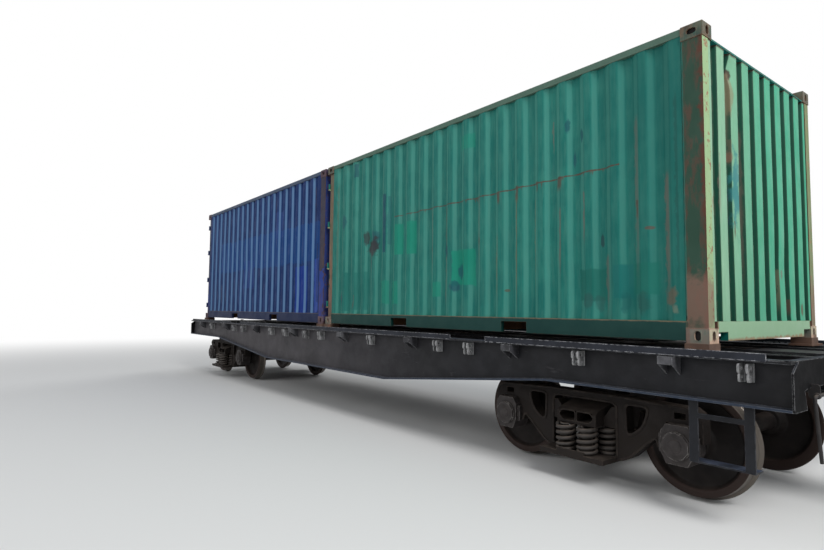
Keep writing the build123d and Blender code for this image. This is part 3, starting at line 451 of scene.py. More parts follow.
# one run of rust or dirt down a wall: 1 on the line X = Place, 0 a Width away; it wanders and breaks
# with the Shift, and tapers between Top and Bottom
def makeRun():
    group, given, out = newGroup("wallRun", {"Place": 0.0, "Top": 1.0, "Bottom": 0.0, "Width": 0.02, "Shift": 0.0})
    split = axes(group, given["Vector"])
    off = reckon(group, "MULTIPLY_ADD", given["Shift"], 0.05, reckon(group, "SUBTRACT", split["X"], given["Place"]))
    near = less(group, reckon(group, "DIVIDE", reckon(group, "ABSOLUTE", off), given["Width"]))
    down = straight(group, split["Z"], given["Top"], given["Bottom"], clamp=False)
    started = ramp(group, down, -0.03, 0.04)
    faded = less(group, ramp(group, down, 0.55, 1.05))
    core = ramp(group, reckon(group, "MULTIPLY_ADD", given["Shift"], 1.8, near), 0.05, 0.75)
    fill(group, out, {"Mask": times(group, core, times(group, started, faded))})
    return group


effects = {"wear": makeEdgeWearAndGlint(), "rust": makeRust(), "streaks": makeStreaks(), "dust": makeDust(),
           "field": makeField(), "smear": makeSmear(), "run": makeRun()}


# places one of the shared effects in a material with its own values
def effect(tree, name, inputs):
    node = tree.nodes.new("ShaderNodeGroup")
    node.node_tree = effects[name]
    fill(tree, node, inputs)
    return node.outputs


# what every metal surface starts from; its base, faded and dark colours are given with each finish
plainMetal = {"broadScale": 0.8, "patchScale": 4.5, "fineScale": 90.0, "fade": 0.5, "blotch": 0.3,
              "streak": 0.35, "streakCover": 0.3, "streakAcross": 16.0, "streakDown": 0.7,
              "wear": 0.4, "wearRadius": 0.008, "wearBreakup": 14.0,
              "rust": 0.8, "rustCover": 0.3, "rustScale": 2.6,
              "dustUp": 0.5, "dustLow": 0.0, "dustHeight": 1.2, "dustColour": (142, 130, 116),
              "rough": 0.5, "roughSpread": 0.15, "bump": 0.35, "bumpDepth": 0.002, "metal": 0.0, "specular": 0.4}


# a weathered metal surface: broad and patchy fading, runs, the piece's own marks, worn edges that on some finishes
# also stand for painted edge glints, rust and dust, one layer over the other, each with its own amount
def metalSurface(name, given, marks=None):
    look = {**plainMetal, "streakColour": given["dark"], "wearColour": given["faded"], **given}
    material = bpy.data.materials.new(name)
    material.use_nodes = True
    tree = material.node_tree
    shader = tree.nodes["Principled BSDF"]
    place = put(tree, "ShaderNodeTexCoord").outputs["Object"]
    broad = ramp(tree, noise(tree, place, look["broadScale"], 5), 0.32, 0.68)
    patchy = ramp(tree, noise(tree, place, look["patchScale"], 7, 0.62), 0.35, 0.65)
    fine = noise(tree, place, look["fineScale"], 3, 0.6)
    colour = blend(tree, times(tree, broad, look["fade"]), look["base"], look["faded"])
    runs = effect(tree, "streaks", {"Vector": place, "Across": look["streakAcross"], "Down": look["streakDown"],
                                    "Cover": look["streakCover"]})["Mask"]
    colour = layered(tree, colour, (patchy, look["blotch"], look["dark"]),
                     (runs, look["streak"], look["streakColour"]))
    if marks:
        colour = marks(tree, place, colour)
    # the edge mask lays worn paint and, on the deck edges and end sills, painted edge glints
    wear = effect(tree, "wear", {"Vector": place, "Radius": look["wearRadius"], "Breakup": look["wearBreakup"]})
    colour = layered(tree, colour, (wear["Mask"], look["wear"], look["wearColour"]))
    rust = effect(tree, "rust", {"Vector": place, "Scale": look["rustScale"], "Cover": look["rustCover"]})
    rusty = times(tree, rust["Mask"], look["rust"])
    colour = blend(tree, rusty, colour, rust["Color"])
    dust = effect(tree, "dust", {"Vector": place, "Upward": look["dustUp"], "Thrown": look["dustLow"],
                                 "Height": look["dustHeight"]})["Mask"]
    colour = blend(tree, dust, colour, look["dustColour"])
    rough = reckon(tree, "MULTIPLY_ADD", patchy, look["roughSpread"], look["rough"])
    rough = reckon(tree, "MULTIPLY_ADD", reckon(tree, "MAXIMUM", rusty, dust), 0.3, rough, clamp=True)
    relief = reckon(tree, "MULTIPLY_ADD", rusty, 0.6, times(tree, fine, 0.5))
    relief = reckon(tree, "MULTIPLY_ADD", patchy, 0.25, relief)
    bump = put(tree, "ShaderNodeBump", {"Strength": look["bump"], "Distance": look["bumpDepth"], "Height": relief})
    fill(tree, shader, {"Base Color": colour, "Roughness": rough, "Normal": bump.outputs[0],
                        "Metallic": look["metal"], "Specular IOR Level": look["specular"]})
    return material


# marks lie on the walls that face -Y, within halfDeep of them
markWall = {"y": -1.2, "halfDeep": 0.6, "soft": 0.008, "ragged": 2.2}


# lays marks on a wall: fields (x, z, half x, half z, tint, strength, ragged), smears the same without
# ragged, or runs (x, top, bottom, width, tint, strength)
def layMarks(tree, place, colour, kind, marks, shift):
    for a, b, c, d, tint, strength, *ragged in marks:
        inputs = {"Vector": place, "Shift": shift}
        if kind == "run":
            inputs.update({"Place": a, "Top": b, "Bottom": c, "Width": d})
        else:
            inputs.update({"Centre": (a, markWall["y"], b), "Half": (c, markWall["halfDeep"], d),
                           "Ragged": ragged[0] if ragged else markWall["ragged"]})
        if kind == "field":
            inputs["Soft"] = markWall["soft"]
        colour = layered(tree, colour, (effect(tree, kind, inputs)["Mask"], strength, tint))
    return colour


# height of a ribbed sheet at this place: 1 on a crest, 0 in a groove
def ribMask(tree):
    return put(tree, "ShaderNodeAttribute", attribute_name="rib").outputs["Fac"]


# 1 on the slopes between crest and groove
def slopeMask(tree):
    rib = ribMask(tree)
    return times(tree, ramp(tree, rib, 0.02, 0.3), less(tree, ramp(tree, rib, 0.7, 0.98)))


# upright brush strokes: noise stretched along Z
def brushMask(tree, place):
    return ramp(tree, noise(tree, stretched(tree, place, 1.0, 1.0, 0.12), 30.0, 4), 0.35, 0.7)


# the green side walls: repair patches, scrapes, the rusty seam and what ran down from it
freshGreen, deepGreen, darkBlue, smudge = (8, 126, 104), (14, 100, 92), (14, 58, 80), (44, 42, 46)
rustBrown, rustPink, paleRust = (84, 56, 46), (112, 92, 84), (104, 104, 82)
chipTeal, footTeal = (16, 72, 82), (36, 80, 76)
greenFields = [
    (1.98, 2.55, 0.095, 0.21, freshGreen, 0.80, 0.03), (2.27, 2.55, 0.10, 0.22, freshGreen, 0.85, 0.03),
    (0.60, 1.85, 0.11, 0.30, deepGreen, 0.75, 0.05), (1.00, 1.86, 0.23, 0.28, deepGreen, 0.55, 0.08),
    (1.67, 1.83, 0.10, 0.16, freshGreen, 0.60, 0.05), (1.92, 1.82, 0.08, 0.16, freshGreen, 0.75, 0.05),
    (3.29, 2.09, 0.19, 0.21, freshGreen, 0.85, 0.07), (2.80, 1.84, 0.075, 0.09, freshGreen, 0.70, 0.05),
    (3.355, 3.59, 0.118, 0.085, freshGreen, 0.55, 0.03), (5.04, 1.83, 0.14, 0.145, (12, 92, 82), 0.70, 0.06),
    (5.36, 1.85, 0.09, 0.15, (8, 96, 92), 0.80, 0.05), (5.57, 1.87, 0.12, 0.135, (16, 100, 88), 0.70, 0.05),
    (1.655, 2.81, 0.050, 0.42, (10, 62, 80), 0.80, 0.06), (1.765, 2.84, 0.030, 0.34, (20, 80, 88), 0.4, 0.08),
    (0.89, 3.72, 0.040, 0.10, darkBlue, 0.55, 0.06),
]
greenSmears = [
    (1.42, 2.60, 0.10, 0.19, darkBlue, 0.55), (1.36, 2.50, 0.15, 0.16, smudge, 0.90),
    (1.20, 2.62, 0.07, 0.14, smudge, 0.75), (2.99, 2.31, 0.05, 0.12, darkBlue, 0.70),
    (3.24, 2.05, 0.07, 0.13, darkBlue, 0.65), (3.15, 1.87, 0.09, 0.08, darkBlue, 0.65),
    (0.55, 2.95, 0.07, 0.16, darkBlue, 0.50), (0.49, 1.75, 0.05, 0.15, (62, 64, 78), 0.55),
    (4.79, 3.40, 0.030, 0.09, chipTeal, 0.75), (4.94, 3.29, 0.024, 0.07, chipTeal, 0.75),
    (4.85, 3.06, 0.024, 0.10, chipTeal, 0.75), (5.145, 2.24, 0.020, 0.09, (26, 50, 56), 0.75),
    (5.62, 2.30, 0.045, 0.014, (96, 58, 50), 0.60), (3.98, 1.80, 0.035, 0.016, (88, 62, 44), 0.60),
    (5.00, 1.665, 0.060, 0.08, footTeal, 0.65), (5.12, 1.66, 0.050, 0.08, footTeal, 0.55),
    (5.38, 1.66, 0.060, 0.11, (12, 84, 82), 0.65), (5.54, 1.66, 0.080, 0.11, (30, 80, 74), 0.65),
    (5.80, 1.72, 0.05, 0.10, (112, 82, 64), 0.55), (5.83, 1.60, 0.04, 0.05, (140, 132, 112), 0.35),
]
greenRuns = [
    (2.725, 2.88, 1.95, 0.022, rustPink, 0.45), (2.985, 2.86, 2.20, 0.026, rustBrown, 0.50),
    (2.975, 2.25, 1.60, 0.020, rustPink, 0.45), (3.555, 2.92, 1.95, 0.020, rustPink, 0.40),
    (3.555, 2.42, 2.33, 0.022, rustBrown, 0.75), (3.865, 2.90, 2.74, 0.040, rustBrown, 0.75),
    (3.835, 2.42, 1.62, 0.020, paleRust, 0.65), (4.13, 2.92, 2.72, 0.040, rustBrown, 0.80),
    (4.125, 2.80, 1.53, 0.020, paleRust, 0.70), (4.40, 2.92, 2.80, 0.032, rustBrown, 0.70),
    (4.37, 2.75, 1.70, 0.016, paleRust, 0.40), (4.68, 2.92, 2.76, 0.046, rustBrown, 0.75),
    (4.69, 2.60, 1.90, 0.022, rustPink, 0.60), (4.965, 2.72, 2.20, 0.020, rustPink, 0.65),
    (5.20, 2.10, 1.53, 0.030, rustPink, 0.40), (5.50, 3.30, 1.75, 0.030, rustPink, 0.40),
    (5.50, 2.56, 2.38, 0.020, rustBrown, 0.70), (5.765, 2.75, 1.53, 0.034, rustPink, 0.55),
    (2.44, 2.90, 2.30, 0.016, paleRust, 0.40), (1.33, 2.45, 2.10, 0.060, (62, 68, 68), 0.55),
    (0.35, 3.6, 1.55, 0.030, (70, 82, 68), 0.45), (4.60, 3.50, 3.15, 0.014, rustPink, 0.45),
    (0.85, 1.80, 1.56, 0.022, (92, 80, 74), 0.55), (5.86, 3.40, 1.55, 0.018, (18, 70, 66), 0.60),
]
seam = {"climb": 0.0115, "start": 2.848, "middle": 3.62, "half": 1.72, "thick": 0.006, "drip": 0.12}


def greenWall(tree, place, colour):
    shift = centred(tree, place, 9.0)
    fine = centred(tree, stretched(tree, place, 1.0, 1.0, 0.35), 34.0)
    split = axes(tree, place)
    # rib slopes lighter, partly faded paint and partly painted sunlight
    colour = layered(tree, colour, (slopeMask(tree), 0.55, (72, 142, 130)),
                     (brushMask(tree, place), 0.22, (80, 134, 120)),
                     (ramp(tree, split["X"], 4.6, 6.0), 0.55, (6, 84, 78)))
    colour = layMarks(tree, place, colour, "field", greenFields, shift)
    colour = layMarks(tree, place, colour, "smear", greenSmears, shift)
    # the seam climbs a little towards +X; it is broken, and drips hang from it
    line = reckon(tree, "MULTIPLY_ADD", split["X"], seam["climb"], seam["start"])
    above = reckon(tree, "SUBTRACT", split["Z"], line)
    level = put(tree, "ShaderNodeCombineXYZ", {"X": split["X"], "Y": split["Y"], "Z": above}).outputs[0]
    rusty = effect(tree, "field", {"Vector": level, "Centre": (seam["middle"], 0, 0), "Soft": 0.004, "Shift": fine,
                                   "Half": (seam["half"], 9, seam["thick"]), "Ragged": 0.02})["Mask"]
    rusty = times(tree, rusty, ramp(tree, noise(tree, stretched(tree, place, 1.0, 0.0, 0.0), 5.0, 5), 0.36, 0.46))
    drips = noise(tree, stretched(tree, place, 1.0, 0.0, 0.02), 26.0, 3)
    drips = ramp(tree, reckon(tree, "MULTIPLY_ADD", above, 1.9, drips), 0.56, 0.60)
    below = effect(tree, "field", {"Vector": level, "Centre": (3.7, 0, -seam["drip"]), "Soft": 0.004,
                                   "Half": (1.6, 9, seam["drip"])})["Mask"]
    drips = times(tree, times(tree, drips, below), 0.6)
    colour = layMarks(tree, place, colour, "run", greenRuns, fine)
    return blend(tree, reckon(tree, "MAXIMUM", times(tree, rusty, 0.9), drips), colour, rustBrown)


# the closed green end: crests in the lighter end paint, lighter still towards -Y, grooves darkened partly with darker
# paint and partly with painted shade, a scrape of blue paint and a torn, rusty dent; its marks are (y, ...) in place
# of (x, ...)
endFields = [(0.0, 3.81, 1.2, 0.012, (70, 52, 42), 0.85, 0.03)]
endSmears = [
    (-0.630, 2.60, 0.090, 0.38, (40, 118, 120), 0.92), (-0.75, 2.52, 0.055, 0.30, (12, 40, 46), 0.88),
    (-0.50, 2.52, 0.04, 0.20, (10, 54, 56), 0.60), (-0.70, 2.90, 0.04, 0.05, (120, 84, 66), 0.6),
    (-0.70, 3.63, 0.055, 0.060, (48, 32, 26), 0.95), (-0.72, 3.45, 0.08, 0.22, (128, 112, 84), 0.60),
    (-0.50, 2.47, 0.02, 0.05, (50, 92, 104), 0.80), (-1.06, 2.45, 0.03, 0.12, (140, 104, 80), 0.55),
    (0.86, 1.62, 0.03, 0.07, (96, 66, 48), 0.75), (0.36, 1.95, 0.03, 0.06, rustPink, 0.6),
]
endRuns = [
    (-0.70, 3.06, 2.80, 0.02, (112, 92, 74), 0.35), (-0.66, 2.36, 2.2, 0.018, rustBrown, 0.8),
    (-0.72, 3.60, 2.90, 0.03, paleRust, 0.5), (-0.46, 3.2, 1.6, 0.014, rustPink, 0.35),
    (0.30, 2.0, 1.56, 0.02, paleRust, 0.5), (-0.93, 2.9, 2.3, 0.014, rustPink, 0.5),
    (0.55, 1.72, 1.55, 0.016, rustBrown, 0.6),
]


def greenEnd(tree, place, colour):
    split = axes(tree, place)
    near = less(tree, ramp(tree, split["Y"], -1.15, 0.1))
    # grooves darker, partly darker paint and partly painted shade in the recesses
    shadedGroove = less(tree, ramp(tree, ribMask(tree), 0.86, 0.985))
    colour = layered(tree, colour, (near, 0.80, (150, 182, 152)), (brushMask(tree, place), 0.30, (84, 150, 116)),
                     (shadedGroove, 1.0, (2, 62, 46)))
    shift, fine = centred(tree, place, 8.0), centred(tree, stretched(tree, place, 1.0, 1.0, 0.3), 30.0)
    flat = put(tree, "ShaderNodeCombineXYZ", {"X": split["Y"], "Y": markWall["y"], "Z": split["Z"]}).outputs[0]
    colour = layMarks(tree, flat, colour, "field", endFields, shift)
    colour = layMarks(tree, flat, colour, "smear", endSmears, shift)
    return layMarks(tree, flat, colour, "run", endRuns, fine)


blueFields = [
    (-0.92, 1.92, 0.20, 0.42, (4, 46, 138), 0.65, 0.06), (-2.6, 2.75, 2.6, 0.34, (0, 64, 126), 0.55, 0.22),
    (-0.36, 1.98, 0.10, 0.46, (52, 78, 156), 0.80, 0.05), (-3.4, 2.3, 0.35, 0.30, (30, 62, 128), 0.45, 0.14),
    (-1.9, 3.2, 0.22, 0.26, (36, 66, 130), 0.40, 0.12), (-4.9, 1.9, 0.30, 0.22, (22, 40, 84), 0.45, 0.12),
    (-0.30, 2.2, 0.03, 0.5, (20, 30, 62), 0.5, 0.08), (-0.18, 1.9, 0.04, 0.35, (88, 60, 52), 0.5, 0.10),
]
blueRuns = [
    (-0.45, 3.7, 2.5, 0.02, (70, 60, 68), 0.5), (-2.1, 3.8, 2.9, 0.02, (76, 64, 66), 0.4),
    (-2.9, 2.9, 1.6, 0.02, (84, 66, 62), 0.4), (-4.3, 3.6, 2.6, 0.018, (70, 60, 68), 0.4),
    (-5.4, 3.0, 1.6, 0.02, (84, 66, 62), 0.4),
]


def blueWall(tree, place, colour):
    colour = layMarks(tree, place, colour, "field", blueFields, centred(tree, place, 8.0))
    # rib slopes lighter, partly faded paint and partly painted sunlight
    colour = layered(tree, colour, (slopeMask(tree), 0.80, (96, 130, 168)))
    fine = centred(tree, stretched(tree, place, 1.0, 1.0, 0.35), 30.0)
    return layMarks(tree, place, colour, "run", blueRuns, fine)


# castings, corner posts and rails of a container about its middle: each has its own paint and rust; faces towards +X
# are painted lighter, partly faded paint and partly painted sunlight
def frameLook(middle, tints):
    def marks(tree, place, colour):
        shift = centred(tree, place, 11.0, 6)
        moved = vectorStep(tree, "SUBTRACT", place, (middle, 0, container["middleHigh"]))
        folded = vectorStep(tree, "ABSOLUTE", moved)
        facing = axes(tree, put(tree, "ShaderNodeNewGeometry").outputs["True Normal"])
        # faces towards +X, painted lighter as partly faded paint and partly painted sunlight
        endFacesPaintedLit = ramp(tree, facing["X"], 0.6, 0.9)
        mottle = ramp(tree, noise(tree, stretched(tree, place, 1.6, 1.6, 0.5), 7.0, 8, 0.66), 0.48, 0.62)
        flecks = ramp(tree, noise(tree, place, 16.0, 8, 0.66), 0.56, 0.64)

        def zone(vector, centre, half, soft=0.006, ragged=0.012):
            return effect(tree, "field", {"Vector": vector, "Centre": centre, "Half": half, "Shift": shift,
                                          "Ragged": ragged, "Soft": soft})["Mask"]
        lowEnd = times(tree, endFacesPaintedLit, zone(moved, (2.97, 0, -1.2), (0.2, 9, 0.12)))
        endRust = times(tree, lowEnd, zone(moved, (2.97, 0, -1.285), (0.2, 9, 0.022), 0.01, 0.10))
        post = zone(folded, (2.97, 1.15, 0), (0.11, 0.11, 1.18))
        rear = zone(moved, (-3, 0, 0), (0.4, 9, 9))
        above = zone(moved, (0, 0, 0.55), (9, 9, 0.95), 0.01, 0.2)
        worn = blend(tree, rear, tints["postRust"], tints["rearRust"])
        sound = blend(tree, rear, tints["post"], tints["rearPost"])
        sound = blend(tree, above, tints["lowPost"], sound)
        corner = times(tree, post, zone(moved, (3.04, 1.15, 0), (0.040, 9, 9), 0.012, 0.16))
        litPostFace = times(tree, post, endFacesPaintedLit)
        farSide = zone(moved, (3, 1.15, 0), (0.2, 0.2, 9))
        face = blend(tree, flecks, blend(tree, farSide, tints["postFaceLit"], tints["farFaceLit"]), tints["rustPale"])
        foot = times(tree, post, zone(moved, (0, 0, -0.98), (9, 9, 0.22), 0.08, 0.5))
        casting = zone(folded, (2.94, 1.138, 1.2365), (0.092, 0.084, 0.062))
        top = zone(moved, (0, 0, 1.25), (9, 9, 0.12))
        dark = blend(tree, top, tints["castingDark"], tints["topDark"])
        # the castings are lighter on their +X faces, as painted sunlight
        lit = blend(tree, endFacesPaintedLit, tints["casting"], tints["castingEndLit"])
        lit = blend(tree, top, lit, tints["topCasting"])
        return layered(tree, colour, (zone(moved, (0, 0, -1.2), (2.88, 9, 0.12)), 0.85, tints["lowRail"]),
                       (zone(moved, (0, 0, -1.121), (2.88, 9, 0.009), 0.004, 0.02), 0.95, tints["ledge"]),
                       (zone(moved, (0, 0, 1.26), (2.88, 9, 0.05)), 0.75, tints["topRail"]),
                       (lowEnd, 0.9, tints["endRailLit"]), (endRust, 0.8, tints["rustPale"]),
                       (post, 0.92, blend(tree, mottle, sound, worn)), (corner, less(tree, litPostFace), tints["postEdge"]),
                       (litPostFace, 0.92, face), (foot, tints["foot"], tints["footRust"]),
                       (casting, 0.95, blend(tree, mottle, lit, dark)))
    return marks


# the tints for faces towards +X are lighter, partly as painted sunlight
greenFrameTints = {"lowRail": (15, 40, 38), "ledge": (110, 100, 80), "topRail": (84, 98, 84),
                   "endRailLit": (148, 182, 148), "post": (40, 62, 48), "postRust": (76, 56, 44),
                   "lowPost": (40, 62, 48), "rearPost": (104, 92, 74), "rearRust": (128, 98, 80),
                   "postEdge": (82, 50, 38), "postFaceLit": (150, 180, 134), "farFaceLit": (118, 130, 92),
                   "rustPale": (146, 106, 82), "foot": 0.7, "footRust": (124, 94, 82),
                   "casting": (136, 112, 102), "castingEndLit": (202, 170, 150), "castingDark": (112, 86, 76),
                   "topCasting": (108, 80, 64), "topDark": (66, 46, 38)}
blueFrameTints = {"lowRail": (36, 44, 70), "ledge": (84, 80, 84), "topRail": (78, 90, 104),
                  "endRailLit": (40, 58, 118), "post": (58, 54, 64), "postRust": (74, 60, 62),
                  "lowPost": (42, 64, 136), "rearPost": (48, 54, 74), "rearRust": (70, 58, 60),
                  "postEdge": (60, 46, 46), "postFaceLit": (44, 60, 118), "farFaceLit": (44, 60, 118),
                  "rustPale": (96, 70, 62), "foot": 0.15, "footRust": (96, 70, 62),
                  "casting": (116, 92, 86), "castingEndLit": (116, 92, 86), "castingDark": (72, 54, 52),
                  "topCasting": (96, 74, 70), "topDark": (64, 48, 48)}


# the side sills' lower flanges are bluish on their upward faces and outer edge, and the web is lighter towards -X and
# scuffed
def sillMarks(tree, place, colour):
    facing = axes(tree, put(tree, "ShaderNodeNewGeometry").outputs["True Normal"])
    split = axes(tree, place)
    patches = ramp(tree, noise(tree, stretched(tree, place, 0.7, 1.0, 0.7), 2.2, 6), 0.30, 0.62)
    paleTowardsMinusX = times(tree, less(tree, ramp(tree, split["X"], -1.0, 3.8)),
                  reckon(tree, "MULTIPLY_ADD", patches, 0.35, 0.35))
    colour = blend(tree, paleTowardsMinusX, colour, (80, 77, 80))
    low = less(tree, ramp(tree, split["Z"], 0.93, 1.02))
    up = times(tree, ramp(tree, facing["Z"], 0.3, 0.8), 0.7)
    rim = times(tree, ramp(tree, reckon(tree, "ABSOLUTE", split["Y"]), 1.37, 1.384), low)
    scuff = ramp(tree, noise(tree, stretched(tree, place, 0.6, 1.0, 2.2), 6.0, 8, 0.7), 0.60, 0.70)
    return layered(tree, colour, (reckon(tree, "MAXIMUM", up, rim), 0.6, (48, 60, 78)), (scuff, 0.30, (80, 78, 82)))


# wheel rims are browner than the discs
def rimMarks(tree, place, colour):
    ring = put(tree, "ShaderNodeAttribute", attribute_name="rimZone").outputs["Fac"]
    return layered(tree, colour, (ring, 0.7, (52, 40, 36)))


# a finish: its three paint colours and what differs from plainMetal
def paint(base, faded, dark, **rest):
    return {"base": base, "faded": faded, "dark": dark, **rest}


greenPaint = paint((12, 104, 95), (28, 119, 106), (12, 84, 82), fade=0.6, blotch=0.35, streakColour=(22, 86, 88),
                   streakCover=0.42, wear=0.20, wearColour=(90, 104, 86), rust=0.7, rustCover=0.06, rustScale=3.6,
                   dustUp=0.45, rough=0.48, specular=0.18, bump=0.25)
# the end wall's green is the side walls' paint made lighter, as painted sunlight
endPaintLit = paint((58, 154, 122), (82, 170, 138), (46, 136, 110), fade=0.6, blotch=0.25, streakColour=(98, 160, 130),
                 streakCover=0.4, wear=0.25, wearColour=(130, 124, 96), rust=0.75, rustCover=0.10, rustScale=3.2,
                 rough=0.46, specular=0.2, bump=0.25)
bluePaint = paint((2, 36, 88), (4, 50, 108), (4, 24, 64), fade=0.6, blotch=0.35, streakColour=(20, 36, 74),
                  streakCover=0.42, wear=0.25, wearColour=(84, 92, 122), rust=0.7, rustCover=0.06, rustScale=3.2,
                  rough=0.48, specular=0.12, bump=0.25)
blackPaint = paint((22, 22, 25), (31, 32, 37), (14, 14, 16), fade=0.7, blotch=0.4, streak=0.3,
                   streakColour=(20, 20, 23), wear=0.75, wearColour=(112, 114, 118), wearRadius=0.007,
                   wearBreakup=22.0, rust=0.5, rustCover=0.10, dustUp=0.28, dustLow=0.04, dustColour=(88, 86, 86),
                   rough=0.52, specular=0.22, bump=0.3)
finishes = {
    "greenWallPaint": greenPaint,
    "greenFramePaint": {**greenPaint, "wear": 0.6, "wearColour": (112, 74, 56), "rustCover": 0.22},
    "greenEndPaintLit": endPaintLit,
    "greenDoorPaint": {**greenPaint, "rustCover": 0.20},
    "blueWallPaint": bluePaint,
    "blueFramePaint": {**bluePaint, "wear": 0.5, "wearColour": (98, 66, 54), "rustCover": 0.22},
    "blueDoorPaint": {**bluePaint, "rustCover": 0.18},
    "greenRoofPaint": {**greenPaint, "base": (78, 118, 104), "faded": (108, 134, 120), "dustUp": 0.7,
                       "rustCover": 0.22},
    "blueRoofPaint": {**bluePaint, "base": (62, 78, 112), "faded": (92, 102, 124), "dustUp": 0.7,
                      "rustCover": 0.20},
    "floorBoards": paint((120, 86, 56), (150, 118, 84), (72, 50, 36), blotch=0.4, streak=0.0, wear=0.2, rust=0.0,
                         dustUp=0.4, rough=0.6, bump=0.3),
    "zincBars": paint((138, 140, 138), (166, 168, 164), (96, 92, 88), metal=0.55, wear=0.3, rustCover=0.28,
                      rustScale=8.0, dustUp=0.4, rough=0.4, bump=0.3),
    "sealRubber": paint((30, 30, 31), (52, 51, 50), (18, 18, 18), blotch=0.5, streak=0.2, wear=0.2, rust=0.0,
                        rough=0.62, bump=0.3),
    "holeShadeDark": paint((20, 18, 18), (30, 27, 26), (12, 11, 11), blotch=0.5, streak=0.0, wear=0.0, rust=0.3,
                      rustCover=0.2, rustScale=12.0, dustUp=0.3, rough=0.8, bump=0.4),
    "frameBlack": blackPaint,
    "sillBlack": blackPaint,
    # end sills: black paint made darker as painted shade, with the edge wear raised to paint glints along the edges
    "endBlackShadedWithGlints": {**blackPaint, "base": (14, 14, 16), "faded": (22, 22, 25), "dark": (9, 9, 10), "wear": 0.7,
                 "wearColour": (140, 140, 142), "wearRadius": 0.010, "wearBreakup": 26.0, "specular": 0.08,
                 "rough": 0.6, "dustUp": 0.5, "dustLow": 0.0, "dustColour": (84, 88, 98)},
    "stepBlack": {**blackPaint, "base": (20, 21, 25), "faded": (30, 32, 38), "wear": 0.5,
                  "wearColour": (104, 106, 112), "dustUp": 0.8, "dustColour": (66, 74, 92)},
    # deck edges: the edge wear is raised and pale, so that it also paints glints of light along the edges
    "bandBlackWearAndGlint": {**blackPaint, "base": (28, 31, 39), "faded": (42, 46, 56), "wear": 0.95,
                  "wearColour": (190, 190, 194), "wearRadius": 0.011, "wearBreakup": 26.0, "dustUp": 0.6,
                  "dustColour": (104, 104, 106)},
    "lugGrey": {**blackPaint, "base": (128, 128, 130), "faded": (176, 176, 176), "dark": (48, 48, 50),
                "patchScale": 14.0, "blotch": 0.6, "wear": 0.9, "wearColour": (166, 166, 166)},
    "pocketBlack": {**blackPaint, "base": (38, 38, 42), "faded": (112, 112, 116), "patchScale": 9.0, "blotch": 0.5,
                    "wear": 0.9, "wearColour": (150, 150, 152), "wearBreakup": 30.0},
    "fittingRust": paint((92, 68, 56), (122, 98, 82), (54, 42, 38), blotch=0.5, rustCover=0.4, rustScale=7.0,
                         dustUp=0.4, rough=0.62, bump=0.5),
    # bogie castings: dark paint made darker still as painted shade under the car
    "bogieCastInShade": paint((24, 20, 19), (36, 31, 29), (14, 12, 12), fade=0.7, patchScale=7.0, blotch=0.5, streak=0.2,
                       wear=0.5, wearColour=(104, 94, 86), rust=0.5, rustCover=0.18, rustScale=5.0, dustUp=0.42,
                       dustLow=0.22, dustHeight=0.9, dustColour=(84, 75, 68), rough=0.6, specular=0.14, bump=0.6,
                       bumpDepth=0.004, fineScale=55.0),
    # axle boxes: dark paint made darker still as painted shade under the car
    "boxCastInShade": paint((36, 32, 32), (60, 55, 55), (20, 18, 18), fade=0.8, patchScale=12.0, blotch=0.5, streak=0.2,
                     wear=0.8, wearColour=(150, 146, 142), wearBreakup=26.0, rust=0.5, rustCover=0.2, rustScale=7.0,
                     dustUp=0.4, dustLow=0.1, dustColour=(104, 94, 86), rough=0.55, specular=0.3, bump=0.6,
                     bumpDepth=0.003, fineScale=70.0),
    # spring coils: dark steel made darker still as painted shade under the car
    "springSteelInShade": paint((36, 33, 32), (68, 62, 58), (20, 18, 18), blotch=0.4, streak=0.0, wear=0.2, rust=0.6,
                         rustCover=0.2, rustScale=12.0, dustUp=0.7, dustLow=0.1, dustColour=(116, 104, 94),
                         rough=0.55, bump=0.4),
    "couplerSteel": paint((70, 56, 48), (92, 76, 66), (38, 32, 29), blotch=0.5, wear=0.6,
                          wearColour=(140, 132, 124), rust=0.7, rustCover=0.35, rustScale=6.0, dustUp=0.4,
                          rough=0.55, bump=0.6, bumpDepth=0.004),
    "brakeBlack": paint((36, 34, 35), (52, 49, 49), (22, 21, 21), blotch=0.45, wear=0.5, wearColour=(100, 96, 92),
                        rust=0.6, rustCover=0.25, rustScale=6.0, dustLow=0.1, dustColour=(98, 88, 80), rough=0.55,
                        specular=0.3, bump=0.4),
    # wheels: dark steel made darker still as painted shade under the car
    "wheelSteelInShade": paint((20, 17, 17), (32, 27, 25), (12, 11, 11), fade=0.8, patchScale=6.0, blotch=0.4, streak=0.0,
                        wear=0.3, rust=0.6, rustCover=0.2, rustScale=5.0, dustUp=0.2, dustLow=0.10,
                        dustColour=(76, 66, 60), rough=0.55, specular=0.16),
}
ownMarks = {"greenWallPaint": greenWall, "greenEndPaintLit": greenEnd, "blueWallPaint": blueWall,
            "greenFramePaint": frameLook(middles["green"], greenFrameTints),
            "blueFramePaint": frameLook(middles["blue"], blueFrameTints),
            "sillBlack": sillMarks, "wheelSteelInShade": rimMarks}
finish = {name: metalSurface(name, look, ownMarks.get(name)) for name, look in finishes.items()}


# brings out the bright rolled band of a wheel where the attribute says tread
def brightTread(tree, colour, rough, metal):
    given = tree.nodes["Principled BSDF"].inputs
    tread = put(tree, "ShaderNodeAttribute", attribute_name="tread").outputs["Fac"]
    bright = ramp(tree, tread, 0.3, 0.7)
    base, old = (given[socket].links[0].from_socket for socket in ("Base Color", "Roughness"))
    fill(tree, tree.nodes["Principled BSDF"], {
        "Base Color": blend(tree, bright, base, colour), "Metallic": times(tree, bright, metal),
        "Roughness": put(tree, "ShaderNodeMix", {0: bright, 2: old, 3: rough}).outputs[0]})


brightTread(finish["wheelSteelInShade"].node_tree, (98, 92, 86), 0.42, 0.7)
print("materials:", len(finish))

